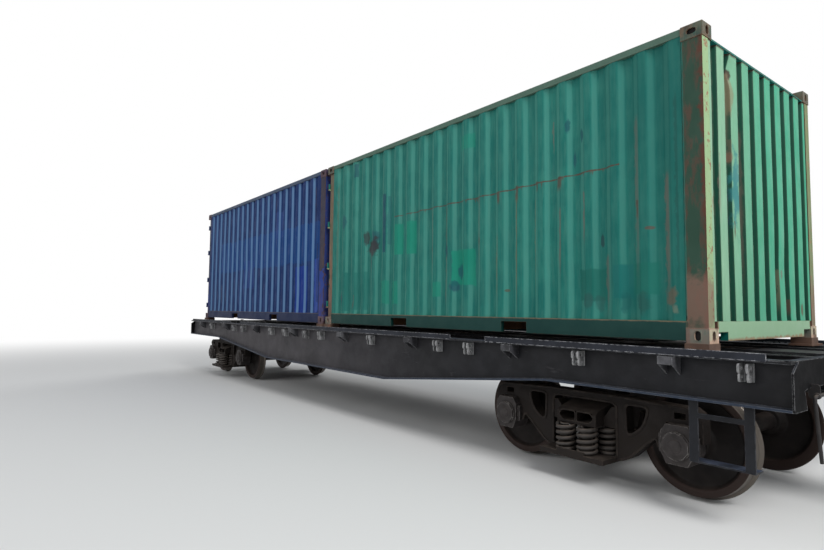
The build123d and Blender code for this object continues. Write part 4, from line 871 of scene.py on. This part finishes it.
nodeFinish = {
    "frameBlack": ["centre_sill", "body_bolsters", "cross_bearers", "stringers", "uncoupling_levers"],
    "sillBlack": ["side_sill_left", "side_sill_right"],
    "bandBlackWearAndGlint": ["deck_edges"],
    "endBlackShadedWithGlints": ["end_sills"],
    "stepBlack": ["corner_steps"],
    "pocketBlack": ["stake_pockets"],
    "lugGrey": ["side_lugs"],
    "fittingRust": ["fitting_plates"],
    "couplerSteel": ["draft_pockets", "draft_gear", "coupler_front", "coupler_rear"],
    "brakeBlack": ["brake_cylinder", "air_reservoir", "air_distributor", "train_pipe", "brake_rods"],
    "bogieCastInShade": [name + "_" + end for end in ends
                  for name in ("side_frames", "bolster", "axle_boxes", "brake_gear")],
    "springSteelInShade": ["springs_front", "springs_rear"],
    "wheelSteelInShade": [name for name in nodes if name.startswith("wheelset")],
    "floorBoards": ["green_floor", "blue_floor"],
    "zincBars": [name for name in nodes if "lock_bars" in name],
    "greenFramePaint": ["green_frame"],
    "greenWallPaint": ["green_side_walls"],
    "greenEndPaintLit": ["green_end_wall"],
    "greenRoofPaint": ["green_roof"],
    "greenDoorPaint": ["green_door_left", "green_door_right"],
    "blueFramePaint": ["blue_frame"],
    "blueWallPaint": ["blue_side_walls", "blue_end_wall"],
    "blueRoofPaint": ["blue_roof"],
    "blueDoorPaint": ["blue_door_left", "blue_door_right"],
}
for name, names in nodeFinish.items():
    for slot in [slot for node in names for slot in nodes[node].material_slots]:
        slot.material = finish[name]


# ribs of the sheets: how many, how far apart, and the shape of one; the seeds are for the waviness
wallShape = {"count": 20, "pitch": 0.278, "crest": 0.072, "slope": 0.068, "depth": 0.036, "bend": 0.007,
             "rows": 40, "seeds": {"right": 3, "left": 5}}
endShape = {"count": 9, "pitch": 0.250, "crest": 0.136, "slope": 0.018, "depth": 0.045, "bend": 0.005,
            "rows": 56, "seed": 11}
roofShape = {"count": 16, "pitch": 0.348, "crest": 0.150, "slope": 0.016, "depth": 0.020, "bend": 0.006,
             "rows": 12, "seed": 13}
# dents and waves fade out over the hem; waves: depth, and how fast they go along and up
sheet = {"thick": 0.003, "hem": 0.05, "waves": ((0.0012, 2.3, 3.1), (0.0008, 7.9, 5.3))}
# dents: place along the wall, height, half widths, depth
dents = {
    "green_right": [(0.9, 1.75, 0.35, 0.2, 0.014), (2.1, 2.5, 0.3, 0.3, 0.008), (3.3, 2.1, 0.22, 0.2, 0.010),
                    (4.95, 1.8, 0.3, 0.22, 0.012), (1.4, 2.6, 0.16, 0.2, 0.010), (5.3, 3.3, 0.3, 0.5, 0.006)],
    "green_left": [(1.6, 2.2, 0.4, 0.3, 0.012), (4.2, 1.8, 0.3, 0.2, 0.014), (5.1, 3.0, 0.3, 0.4, 0.008)],
    "blue_right": [(-0.9, 1.9, 0.25, 0.3, 0.010), (-3.5, 2.4, 0.4, 0.3, 0.012), (-5.2, 1.8, 0.3, 0.2, 0.010)],
    "blue_left": [(-2.0, 2.0, 0.4, 0.3, 0.012), (-4.4, 2.9, 0.3, 0.4, 0.010)],
    "green_end": [(-0.70, 3.66, 0.07, 0.10, 0.034), (-0.62, 2.5, 0.10, 0.3, 0.008), (0.4, 2.0, 0.2, 0.25, 0.010)],
    "blue_end": [(0.3, 2.2, 0.3, 0.3, 0.010)],
}


# rib height along the wall: 1 on a crest, 0 in a valley, with straight slopes; the mean of five
# places a bend's width apart rounds the folds
def ribHeight(s, first, last, shape):
    total = 0
    for shift in np.linspace(-1, 1, 5) * shape["bend"]:
        at = np.clip(s + shift, first, last)
        away = np.abs((at - first + shape["pitch"] / 2) % shape["pitch"] - shape["pitch"] / 2)
        total = total + np.clip((shape["crest"] / 2 + shape["slope"] - away) / shape["slope"], 0, 1)
    return total / 5


# places along the wall where the fold lines and their bends lie, with the first and last crest
def ribPlaces(start, stop, shape):
    endFlat = (stop - start - shape["count"] * shape["pitch"] + shape["crest"]) / 2
    first = start + endFlat - shape["crest"] / 2
    crests = first + shape["pitch"] * np.arange(shape["count"] + 1)
    foot, head = shape["crest"] / 2, shape["crest"] / 2 + shape["slope"]
    steps = np.array([-1, -0.4, 0.4, 1]) * shape["bend"] * 1.3
    folds = np.concatenate([side * (edge + steps) for side in (-1, 1) for edge in (foot, head)])
    valleys = crests[:-1] + shape["pitch"] / 2
    s = np.concatenate([(crests[:, None] + np.append(folds, 0)).ravel(), [start, stop], valleys])
    return np.unique(s[(s >= start) & (s <= stop)].round(5)), first, crests[-1]


# depth pressed into a wall at (s, h): the sum of bells over the dents and a slight waviness
def pressed(s, h, places, seed):
    starts = np.random.default_rng(seed).uniform(0, 2 * pi, (2, 2))
    depth = 0
    for (deep, along, up), (startS, startH) in zip(sheet["waves"], starts):
        depth = depth + deep * (1 + np.sin(s * along + startS) * np.sin(h * up + startH))
    for s0, h0, halfS, halfH, deep in places:
        depth = depth + deep * np.exp(-((s - s0) / halfS) ** 2 - ((h - h0) / halfH) ** 2)
    return depth


# ribbed sheet on a grid of places along the wall and heights: out(s, h) = face - (1 - rib) * depth - dents;
# it puts out the sheet, its points laid as (s, h, out), and the rib height at each of them
def ribbedSheet(span, heights, face, shape, places, seed, lay):
    s, first, last = ribPlaces(*span, shape)
    h = np.linspace(*heights, shape["rows"])
    gridS, gridH = np.meshgrid(s, h)
    rib = ribHeight(gridS, first, last, shape)
    fade = np.minimum(1, np.minimum(gridH - h[0], h[-1] - gridH) / sheet["hem"])
    inward = (1 - rib) * shape["depth"] + pressed(gridS, gridH, places, seed) * fade
    outer, inner = (np.stack(lay(gridS, gridH, face - inward - thick), 2) for thick in (0, sheet["thick"]))
    return slab(outer, inner), np.concatenate([rib.ravel(), rib.ravel()])


# puts the sheets of one wall, end or roof in the place of its node
def addSheets(name, node, look, made):
    addPiece(name, [part for part, rib in made], "car", finish[look], [node],
             values={"rib": np.concatenate([rib for part, rib in made])})


for colour in middles:
    low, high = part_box(colour + "_side_walls")
    made = [ribbedSheet((low.x, high.x), (low.z, high.z), high.y, wallShape, dents[colour + "_" + side], seed,
                        lambda s, h, out: (s, sides[side] * out, h)) for side, seed in wallShape["seeds"].items()]
    addSheets(colour + "_side_sheets", colour + "_side_walls", colour + "WallPaint", made)
    low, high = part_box(colour + "_end_wall")
    made = ribbedSheet((low.y, high.y), (low.z, high.z), high.x, endShape, dents[colour + "_end"], endShape["seed"],
                       lambda s, h, out: (out, s, h))
    slot, look = {"green": ("green_end_paint", "greenEndPaintLit"), "blue": ("blue_paint", "blueWallPaint")}[colour]
    addSheets(colour + "_end_sheet", colour + "_end_wall", look, [made])
    low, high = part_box(colour + "_roof")
    made = ribbedSheet((low.x, high.x), (low.y, high.y), high.z, roofShape, [], roofShape["seed"],
                       lambda s, h, out: (s, h, out))
    addSheets(colour + "_roof_sheet", colour + "_roof", colour + "RoofPaint", [made])
print("container walls done")


# wheelsets: one turned wheel profile, mirrored to the other side, on a turned axle
wheelShape = {"tread": 0.465, "flangeTip": 0.493, "rimInside": 0.397, "back": 0.720, "face": 0.850, "hub": 0.135,
              "hubInner": 0.706, "hubOuter": 0.892, "axle": 0.084, "guard": 0.082, "guardEnd": 0.928,
              "journal": 0.065, "journalEnd": 1.104, "web": 0.024, "turns": 96}


# half profile of wheel and axle, radius against distance from the middle
def wheelProfile(w):
    disc = [(0.25, 0.770), (0.345, 0.765), (w["rimInside"] - 0.02, 0.760)]
    line = [(0, 0), (w["axle"], 0), (w["axle"], w["hubInner"]), (w["hub"] - 0.012, w["hubInner"]),
            (w["hub"] + 0.004, w["hubInner"] + 0.03), (w["hub"] + 0.03, 0.776)] + disc
    line += [(w["rimInside"], w["back"] + 0.012), (w["rimInside"] + 0.006, w["back"]),
             (w["flangeTip"] - 0.012, w["back"]), (w["flangeTip"], w["back"] + 0.006),
             (w["flangeTip"], w["back"] + 0.018), (w["tread"] + 0.004, 0.752), (w["tread"], 0.762),
             (w["tread"] - 0.005, w["face"] - 0.006), (w["tread"] - 0.011, w["face"]),
             (w["rimInside"] + 0.006, w["face"]), (w["rimInside"], w["face"] - 0.012),
             (w["rimInside"] - 0.02, 0.760 + w["web"] + 0.006), (0.345, 0.765 + w["web"]), (0.25, 0.770 + w["web"]),
             (w["hub"] + 0.026, 0.776 + w["web"] + 0.004), (w["hub"] + 0.002, 0.84),
             (w["hub"] - 0.004, w["hubOuter"]), (w["guard"], w["hubOuter"]), (w["guard"], w["guardEnd"]),
             (w["journal"], w["guardEnd"]), (w["journal"], w["journalEnd"]), (0, w["journalEnd"])]
    return rounded(line, 0.012)


# 1 on the tread, and 1 on the rest of the rim, at each point of the profile
def wheelMasks(profile, w):
    r, y = np.abs(profile).T
    onTread = (r > w["tread"] - 0.012) & (y > w["back"] + 0.016) & (y < w["face"] - 0.004)
    onRim = (r > w["rimInside"] - 0.004) & ~onTread
    return [np.repeat(mask.astype(float), w["turns"]) for mask in (onTread, onRim)]


halfWheel = wheelProfile(wheelShape)
wholeWheel = np.concatenate([(halfWheel * (1, -1))[::-1], halfWheel[1:]])
treadMask, rimMask = wheelMasks(wholeWheel, wheelShape)
for node in ["wheelset_" + end + "_" + place for end in ends for place in ("outer", "inner")]:
    low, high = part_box(node)
    centre = ((low.x + high.x) / 2, 0, bogie["axleHigh"])
    addPiece(node + "_turned", [lathe(wholeWheel, centre, (0, 1, 0), wheelShape["turns"])], node,
             finish["wheelSteelInShade"], [node], values={"tread": treadMask, "rimZone": rimMask})
print("wheelsets done")


# spring nests: coils of round bar, flattened where they rest
springShape = {"low": 0.273, "high": 0.523, "pitch": 0.230, "row": 0.178, "line": 1.018, "steps": 22, "flat": 0.45,
               "soft": 0.18, "sides": 8, "seed": 20, "outer": {"radius": 0.099, "bar": 0.0165, "turns": 5.2},
               "inner": {"radius": 0.058, "bar": 0.009, "turns": 7.0}}


# helix: its angle goes from start through 2 pi turns, its height is low + bar + (high - low - 2 bar) * ease,
# where ease rests over the flat part of a turn at each end, and soft is how smoothly it rises
def coil(x, y, spring, start, s):
    bar, turns = spring["bar"], spring["turns"]
    share = np.linspace(0, 1, int(turns * s["steps"]))
    flat = s["flat"] / turns
    ease = np.clip((share - flat) / (1 - 2 * flat), 0, 1)
    ease = ease * ease * (3 - 2 * ease) * s["soft"] + ease * (1 - s["soft"])
    a = start + 2 * pi * turns * share
    reach = spring["radius"] - bar
    z = s["low"] + bar + (s["high"] - s["low"] - 2 * bar) * ease
    return tube(np.stack([x + reach * np.cos(a), y + reach * np.sin(a), z], 1), bar, s["sides"])


# seven pairs of coils, one inside the other, each turned to its own start
def springNest(x0, y0, s, seed):
    draw = np.random.default_rng(seed)
    spots = [(x * s["pitch"] / 2, y * s["row"]) for x in (-1, 1) for y in (-1, 1)]
    spots += [(x * s["pitch"], 0) for x in (-1, 0, 1)]
    return [coil(x0 + dx, y0 + dy, s[which], draw.uniform(0, 2 * pi), s)
            for dx, dy in spots for which in ("outer", "inner")]


for end, sign in ends.items():
    s = springShape
    parts = [part for side in (-1, 1)
             for part in springNest(sign * bogie["x"], side * s["line"], s, s["seed"] + side)]
    addPiece("spring_coils_" + end, parts, "bogie_" + end, finish["springSteelInShade"], ["springs_" + end],
             sharp=60)
print("springs done")


# castings with rounded edges: node, edge width, bevel segments, finish and slot
castings = [row for end in ends for row in (
    ("side_frames_" + end, 0.008, 3, "bogieCastInShade", "bogie_brown"),
    ("bolster_" + end, 0.007, 3, "bogieCastInShade", "bogie_brown"),
    ("axle_boxes_" + end, 0.005, 3, "boxCastInShade", "bogie_brown"),
    ("coupler_" + end, 0.012, 3, "couplerSteel", "coupler_steel"))]
castings.append(("draft_pockets", 0.010, 3, "couplerSteel", "coupler_steel"))
castings += [(colour + "_door_" + side, 0.004, 2, colour + "DoorPaint", colour + "_paint")
             for colour in middles for side in sides]
for node, width, segments, look, slot in castings:
    softened(node, width, segments, finish[look])
print("castings done")


# raised rims of the side frames: round the windows and the bolster opening, along the top and the belly,
# and round the bolsters' pockets; each has its outline (x, z), its two edges off that, and its corners' cut
rimShape = {"face": 1.083, "high": 0.011, "bolsterFace": 1.208, "pocketHigh": 0.003, "sunk": -0.002,
            "shoulder": 0.6, "slant": 0.35}
rimLines = {
    "window": ([(0.437, 0.758), (0.640, 0.758), (0.640, 0.700), (0.598, 0.583), (0.500, 0.501), (0.447, 0.501)],
               (-0.007, 0.016), 0.05),
    "pocket": ([(0.009, 0.549), (0.142, 0.549), (0.186, 0.589), (0.186, 0.606), (0.156, 0.642), (0.009, 0.642)],
               (-0.003, 0.006), 0.02),
    "opening": ([(-0.345, 0.273), (0.345, 0.273), (0.345, 0.718), (0.311, 0.752), (-0.311, 0.752),
                 (-0.345, 0.718)], (-0.004, 0.016), 0.04),
    "belly": ([(-0.735, 0.440), (-0.716, 0.506), (-0.480, 0.292), (-0.400, 0.250), (-0.300, 0.228), (0.300, 0.228),
               (0.400, 0.250), (0.480, 0.292), (0.716, 0.506), (0.735, 0.440)], (-0.020, 0.0), 0.03),
    "top": ([(1.110, 0.700), (1.088, 0.761), (1.030, 0.801), (0.560, 0.816), (0.420, 0.822), (-0.420, 0.822),
             (-0.560, 0.816), (-1.030, 0.801), (-1.088, 0.761), (-1.110, 0.700)], (-0.018, 0.0), 0.03)}


# one rim: its section rises from inside the face to a shoulder, and slants in to its top
def frameRim(name, half, high, place, closed=True):
    outline, (inner, outer), cut = rimLines[name]
    sunk, shoulder, slant = rimShape["sunk"], high * rimShape["shoulder"], rimShape["slant"] * (outer - inner)
    section = [(inner, sunk), (inner, shoulder), (inner + slant, high), (outer - slant, high), (outer, shoulder),
               (outer, sunk)]
    return rimPart([(half * x, z) for x, z in outline], section, place, closed, cut)


for end, sign in ends.items():
    parts = []
    for side in (-1, 1):
        onFace, onBolster = (plane((sign * bogie["x"], side * face, 0), (1, 0, 0), (0, side, 0))
                             for face in (rimShape["face"], rimShape["bolsterFace"]))
        for half in (-1, 1):
            parts.append(frameRim("window", half, rimShape["high"], onFace))
            parts.append(frameRim("pocket", half, rimShape["pocketHigh"], onBolster))
        for name, closed in (("opening", True), ("belly", False), ("top", False)):
            parts.append(frameRim(name, 1, rimShape["high"], onFace, closed))
    addPiece("frame_rims_" + end, parts, "bogie_" + end, finish["bogieCastInShade"])
print("frame rims done")


# axle box covers: a bolted flange, a raised ring and a domed cap, turned about the axle's line
coverShape = {"bolts": 8, "boltCircle": 0.101, "boltRadius": 0.0115, "boltHigh": 0.010, "boltFace": 1.163}
coverProfile = [(0, 1.193), (0.030, 1.192), (0.050, 1.187), (0.058, 1.178), (0.060, 1.168), (0.070, 1.166),
                (0.074, 1.180), (0.084, 1.180), (0.088, 1.167), (0.116, 1.165), (0.119, 1.161), (0.119, 1.146),
                (0.100, 1.146)]
boltAngles = 2 * pi * (np.arange(coverShape["bolts"]) + 0.5) / coverShape["bolts"]
for end, sign in ends.items():
    parts = []
    for side, place in [(side, place) for side in (-1, 1) for place in (-1, 1)]:
        x, z = sign * bogie["x"] + place * bogie["axle"], bogie["axleHigh"]
        parts.append(lathe(rounded(coverProfile, 0.004, 3), (x, 0, z), (0, side, 0), 40))
        for a in boltAngles:
            spot = (x + coverShape["boltCircle"] * cos(a), side * coverShape["boltFace"],
                    z + coverShape["boltCircle"] * sin(a))
            parts.append(boltHead(spot, (0, side, 0), coverShape["boltRadius"], coverShape["boltHigh"]))
    addPiece("box_covers_" + end, parts, "bogie_" + end, finish["boxCastInShade"])
print("box covers done")


# lashing lugs: pairs of plates with a large hole over a small one, on the webs of the side sills
lugShape = {"places": (-5.180, -3.740, -3.210, -1.790, -1.190, -0.400, 0.130, 1.570, 3.010, 3.540, 4.985, 6.390),
            "spread": 0.030, "thick": 0.014, "web": 1.294, "pad": 0.008, "padHigh": 1.155, "padHalf": (0.016, 0.074)}
lugEyes = ({"z": 1.186, "halfY": 0.051, "halfZ": 0.038, "hole": 0.020, "y": 1.346},
           {"z": 1.121, "halfY": 0.044, "halfZ": 0.034, "hole": 0.012, "y": 1.338})
parts = []
for x, side, shift in [(x, side, shift) for x in lugShape["places"] for side in (-1, 1) for shift in (-1, 1)]:
    for eye in lugEyes:
        upright = plane((x + shift * (lugShape["spread"] + lugShape["thick"] / 2), side * eye["y"], eye["z"]),
                        (0, side, 0), (-shift, 0, 0))
        parts.append(ringPlate(rectangle(eye["halfY"], eye["halfZ"], 4), circle(eye["hole"]), lugShape["thick"],
                               upright, 24, 0.003))
    onWeb = plane((x + shift * lugShape["spread"], side * (lugShape["web"] + lugShape["pad"]), lugShape["padHigh"]),
                  (1, 0, 0), (0, -side, 0))
    parts.append(plate(lugShape["padHalf"], lugShape["pad"], onWeb, 16))
addPiece("side_lug_plates", parts, "car", finish["lugGrey"], ["side_lugs"])
print("lugs done")


# oblong holes of the corner castings: a ring in the face and, behind it, a dark disc as painted shade inside the
# hole; a lying hole has its long side along the car
holeShape = {"half": (0.0245, 0.039), "over": (0.031, 0.045), "deep": 0.012, "cut": 0.001, "back": 0.021,
             "backHalf": (0.0258, 0.0398), "backDeep": 0.002, "backCut": 0.0005, "sideFace": 1.2202,
             "endFace": 3.0302, "heights": ((1.397, False), (3.870, True))}
for colour, middle in middles.items():
    rings, shadeDiscs = [], []
    for end, side, (z, lying) in [(end, side, row) for end in (-1, 1) for side in (-1, 1)
                                  for row in holeShape["heights"]]:
        x, y = middle + end * container["castingX"], side * container["castingY"]
        sideways = ((0, 0, 1), (1, 0, 0)) if lying else ((1, 0, 0), (0, 0, 1))
        for origin, (along, up), deep in (
                ((x, side * holeShape["sideFace"], z), sideways, (0, -side, 0)),
                ((middle + end * holeShape["endFace"], y, z), ((0, 1, 0), (0, 0, 1)), (-end, 0, 0))):
            rings.append(ringPlate(rectangle(*holeShape["over"], 8), oblong(*holeShape["half"]), holeShape["deep"],
                                   plane(origin, along, deep, up), 32, holeShape["cut"]))
            # a dark disc behind each hole, as painted shade inside it
            behind = plane(np.array(origin) + holeShape["back"] * np.array(deep), along, deep, up)
            shadeDiscs.append(ringPlate(oblong(*holeShape["backHalf"]), circle(0), holeShape["backDeep"], behind, 16,
                                   holeShape["backCut"]))
    for name, made, look in (("_hole_rings", rings, colour + "FramePaint"), ("_hole_shade_discs", shadeDiscs, "holeShadeDark")):
        addPiece(colour + name, made, "car", finish[look])
print("casting holes done")


# doors: rubber seals round each leaf, and two round lock bars with keepers, cams and a handle each
doorShape = {"face": 0.055, "innerY": 0.006, "outerY": 1.103, "low": 0.180, "high": 2.467,
             "seal": ((-0.022, -0.002), (-0.022, 0.006), (-0.014, 0.010), (-0.003, 0.010), (0.003, 0.004),
                      (0.003, -0.002))}
barShape = {"out": 0.028, "bars": ((0.230, 1.080), (0.840, 1.210)), "radius": 0.0165, "low": 0.060, "high": 2.531,
            "cut": 0.003, "bore": 0.0155}
keeperShape = {"heights": (0.225, 0.700, 1.420, 1.960, 2.400), "radius": 0.024, "long": 0.036, "half": (0.052, 0.026),
               "thick": 0.0095, "out": 0.008, "up": 0.018, "bolts": 0.036, "boltOut": 0.007, "bolt": (0.009, 0.007)}
camShape = {"half": (0.034, 0.022), "thick": 0.024, "cut": 0.003, "inset": 0.012, "up": 0.022,
            "heights": (barShape["low"] + 0.006, barShape["high"] - 0.050)}
handleShape = {"long": 0.19, "radius": 0.0095, "out": 0.006, "bow": 0.005, "bowLong": 0.12, "up": 0.016,
               "sink": 0.02, "hubDown": 0.006, "hub": (0.023, 0.044)}
haspShape = {"half": (0.030, 0.048), "thick": 0.0135, "cut": 0.003, "out": 0.012, "reach": 0.196, "up": 0.008}


# one lock bar (its y, and the height of its handle) with all it carries, on the door's leaf at x0
def lockBar(x0, sign, y, high, b, k, c, h, hasp):
    x, y, base, face = x0 + b["out"], sign * y, container["low"], x0 + doorShape["face"]
    upright, across, inwards, outwards = (0, 0, 1), (0, 1, 0), (1, 0, 0), (-1, 0, 0)
    length, r, cut = b["high"] - b["low"], b["radius"], b["cut"]
    turned = [(0, 0), (r - cut, 0), (r, cut), (r, length - cut), (r - cut, length), (0, length)]
    made = [lathe(turned, (x, y, base + b["low"]), upright, 16)]
    for z in [base + z for z in k["heights"]]:
        made.append(sleeve((x, y, z), upright, b["bore"], k["radius"], k["long"]))
        made.append(plate(k["half"], k["thick"], plane((face - k["out"], y, z + k["up"]), across, inwards)))
        for offset in (-k["bolts"], k["bolts"]):
            made.append(boltHead((face - k["boltOut"], y + offset, z + k["up"]), outwards, *k["bolt"]))
    for z in c["heights"]:
        made.append(plate(c["half"], c["thick"], plane((x + c["inset"], y, base + z + c["up"]), across, outwards),
                          cut=c["cut"]))
    # the handle bows out as sin, and sinks as the square of the reach
    reach = np.linspace(0, h["long"], 14)
    bow = h["bow"] * np.sin(pi * np.clip(reach / h["bowLong"], 0, 1))
    sunk = base + high + h["up"] - h["sink"] * (reach / h["long"]) ** 2
    made.append(tube(np.stack([x - h["out"] - bow, y - sign * reach, sunk], 1), h["radius"], 10))
    made.append(sleeve((x, y, base + high - h["hubDown"]), upright, b["bore"], *h["hub"]))
    held = plane((face - hasp["out"], y - sign * hasp["reach"], base + high + hasp["up"]), across, inwards)
    made.append(plate(hasp["half"], hasp["thick"], held, cut=hasp["cut"]))
    return made


for colour, side in [(colour, side) for colour in middles for side in sides]:
    x0, sign = middles[colour] - container["halfLong"], sides[side]
    s = doorShape
    corners = [(s["innerY"], s["low"]), (s["outerY"], s["low"]), (s["outerY"], s["high"]), (s["innerY"], s["high"])]
    onLeaf = plane((x0 + s["face"], 0, container["low"]), (0, sign, 0), (-1, 0, 0))
    seal = rimPart(corners, s["seal"], onLeaf, cut=0.02)
    addPiece(colour + "_door_seal_" + side, [seal], bodyOf[colour + "_door_" + side],
             finish["sealRubber"])
    bars = colour + "_lock_bars_" + side
    gear = [part for y, high in barShape["bars"]
            for part in lockBar(x0, sign, y, high, barShape, keeperShape, camShape, handleShape, haspShape)]
    addPiece(colour + "_lock_gear_" + side, gear, bodyOf[bars], finish["zincBars"], [bars])
print("door gear done")


# round pieces under and at the ends of the car
leverShape = {"x": 6.740, "bends": [(-0.270, 1.070), (-0.330, 1.010), (-1.124, 1.010), (-1.021, 0.545)],
              "cut": 0.04, "radius": 0.0125, "brackets": (0.400, 1.060), "bracketX": 6.722, "bracketZ": 1.041,
              "bracketHalf": (0.036, 0.050), "bracketThick": 0.012, "bore": 0.012, "sleeve": 0.022,
              "sleeveLong": 0.024, "sleeveZ": 1.010}
pipeShape = {"halfLong": 6.760, "y": 0.290, "z": 0.890, "radius": 0.021, "cockZ": 0.880, "cockLean": (0.080, 0.030),
             "handle": ((6.795, 0.900), (6.800, 0.962)), "handleRadius": 0.009,
             "cock": [(0, -0.004), (0.026, -0.004), (0.034, 0.010), (0.034, 0.052), (0.028, 0.060), (0.024, 0.082),
                      (0, 0.084)]}
tankShape = {"y": 0.620, "z": 0.920, "cylinderX": -1.075, "reservoirX": 0.005, "run": 1.070,
             "cylinder": [(0, 0), (0.178, 0), (0.178, 0.396), (0.192, 0.396), (0.192, 0.420), (0.150, 0.428),
                          (0.095, 0.475), (0.095, 0.500), (0.026, 0.500), (0.026, 0.650), (0, 0.650)],
             "end": [(0, 0), (0.040, 0), (0.040, 0.070), (0.110, 0.085), (0.140, 0.104), (0.150, 0.130)],
             "cut": 0.008, "endCut": 0.010, "boltFace": -0.657, "boltCircle": 0.172, "bolt": (0.014, 0.012)}
levers, pipes = [], []
s = leverShape
for sign in (-1, 1):
    bend = rounded([(sign * s["x"], sign * y, z) for y, z in s["bends"]], s["cut"], 6)
    levers.append(tube(bend, s["radius"], 12, (1, 0, 0)))
    for y in [-sign * y for y in s["brackets"]]:
        bracket = plane((sign * s["bracketX"], y + s["bracketThick"] / 2, s["bracketZ"]), (1, 0, 0), (0, -1, 0))
        levers.append(plate(s["bracketHalf"], s["bracketThick"], bracket, 24, power=5))
        levers.append(sleeve((sign * s["x"], y - s["sleeveLong"] / 2, s["sleeveZ"]), (0, 1, 0), s["bore"],
                             s["sleeve"], s["sleeveLong"]))
s = pipeShape
run = [(0, 0), (s["radius"], 0), (s["radius"], 2 * s["halfLong"]), (0, 2 * s["halfLong"])]
pipes.append(lathe(run, (-s["halfLong"], s["y"], s["z"]), (1, 0, 0), 16))
for sign in (-1, 1):
    outwards, upwards = s["cockLean"]
    pipes.append(lathe(rounded(s["cock"], 0.004, 3), (sign * s["halfLong"], s["y"], s["cockZ"]),
                       (sign * outwards, 0, upwards), 20))
    handle = np.linspace(*[(sign * x, s["y"], z) for x, z in s["handle"]], 8)
    pipes.append(tube(handle, s["handleRadius"], 8, (0, 1, 0)))
s = tankShape
cylinder = [lathe(rounded(s["cylinder"], s["cut"]), (s["cylinderX"], s["y"], s["z"]), (1, 0, 0), 40)]
cylinder += [boltHead((s["boltFace"], s["y"] + s["boltCircle"] * cos(a), s["z"] + s["boltCircle"] * sin(a)),
                      (1, 0, 0), *s["bolt"]) for a in np.arange(8) * pi / 4]
profile = rounded(s["end"] + [(r, s["run"] - run) for r, run in reversed(s["end"])], s["endCut"])
reservoir = [lathe(profile, (s["reservoirX"], -s["y"], s["z"]), (1, 0, 0), 40)]
for name, made, slot, node in (("uncoupling_bars", levers, "frame_black", "uncoupling_levers"),
                               ("train_pipe_round", pipes, "brake_black", "train_pipe"),
                               ("brake_cylinder_round", cylinder, "brake_black", "brake_cylinder"),
                               ("air_reservoir_round", reservoir, "brake_black", "air_reservoir")):
    addPiece(name, made, "car", finish["brakeBlack"], [node])
print("pipes and tanks done")


cameraPose = {"place": (8.0609, -5.6652, 1.5756), "turn": -0.9099, "tilt": 0.0639, "roll": -0.0105,
              "focalPixels": 551.28, "framePixels": 824, "filmWidth": 36}


# looks along d = (sin turn cos tilt, cos turn cos tilt, sin tilt), rolled about d
def makeCamera(c):
    d = Vector((sin(c["turn"]) * cos(c["tilt"]), cos(c["turn"]) * cos(c["tilt"]), sin(c["tilt"])))
    right = d.cross(Vector((0, 0, 1))).normalized()
    down = d.cross(right)
    rolledRight = right * cos(c["roll"]) + down * sin(c["roll"])
    rolledUp = right * sin(c["roll"]) - down * cos(c["roll"])
    data = bpy.data.cameras.new("camera")
    data.sensor_width = c["filmWidth"]
    data.lens = c["filmWidth"] * c["focalPixels"] / c["framePixels"]
    data.clip_end = 500
    camera = linked("camera", data)
    turned = Matrix((rolledRight, rolledUp, -d)).transposed().to_4x4()
    camera.matrix_world = Matrix.Translation(c["place"]) @ turned
    bpy.context.scene.camera = camera


makeCamera(cameraPose)

lamps = {"key": {"place": (16, -4, 12), "aim": (2, 0, 1.5), "size": 7, "power": 1900},
         "fill": {"place": (-1, -17, 8), "aim": (1, 0, 1.5), "size": 13, "power": 700},
         "back": {"place": (-9, 13, 11), "aim": (0, 0, 2), "size": 9, "power": 900}}
for name, lamp in lamps.items():
    data = bpy.data.lights.new(name, "AREA")
    data.shape = "DISK"
    data.size = lamp["size"]
    data.energy = lamp["power"]
    light = linked(name, data)
    light.location = lamp["place"]
    light.rotation_euler = (Vector(lamp["aim"]) - Vector(lamp["place"])).to_track_quat("-Z", "Y").to_euler()


# 1 for what the camera sees, directly, mirrored or through glass
def seenDirectly(tree):
    path = put(tree, "ShaderNodeLightPath").outputs
    mirrored = reckon(tree, "MAXIMUM", path["Is Glossy Ray"], path["Is Transmission Ray"])
    return reckon(tree, "MAXIMUM", path["Is Camera Ray"], mirrored)


# pale floor that runs out to white far from the object: a flat disc in three rings
def makeFloor(radius=120, near=8.5, far=24):
    points, quads = lathe([(0, 0), (near, 0), (far, 0), (radius, 0)], (0, 0, 0), (0, 0, 1), 96)
    mesh = bpy.data.meshes.new("studio_floor")
    mesh.from_pydata(points.tolist(), [], quads.tolist())
    material = bpy.data.materials.new("studioFloor")
    material.use_nodes = True
    tree = material.node_tree
    shader = tree.nodes["Principled BSDF"]
    shader.inputs["Base Color"].default_value = (0.72, 0.72, 0.71, 1)
    fill(tree, shader, {"Roughness": 0.9, "Specular IOR Level": 0.1})
    place = put(tree, "ShaderNodeTexCoord").outputs["Object"]
    away = vectorStep(tree, "LENGTH", place, give="Value")
    white = put(tree, "ShaderNodeEmission", {"Color": (255, 255, 255), "Strength": 1.0}).outputs[0]
    share = times(tree, ramp(tree, away, near, far), seenDirectly(tree))
    mixed = put(tree, "ShaderNodeMixShader", {0: share, 1: shader.outputs[0], 2: white})
    fill(tree, tree.nodes["Material Output"], {"Surface": mixed.outputs[0]})
    mesh.materials.append(material)
    linked("studio_floor", mesh)


makeFloor()

world = bpy.data.worlds.new("studio")
bpy.context.scene.world = world
world.use_nodes = True
tree = world.node_tree
background = tree.nodes["Background"]
background.inputs["Color"].default_value = (0.93, 0.96, 1.0, 1)
background.inputs["Strength"].default_value = 0.48
white = put(tree, "ShaderNodeBackground", {"Color": (255, 255, 255), "Strength": 1.0}).outputs[0]
mixed = put(tree, "ShaderNodeMixShader", {0: seenDirectly(tree), 1: background.outputs[0], 2: white})
fill(tree, tree.nodes["World Output"], {"Surface": mixed.outputs[0]})
bpy.context.scene.view_settings.view_transform = "Standard"
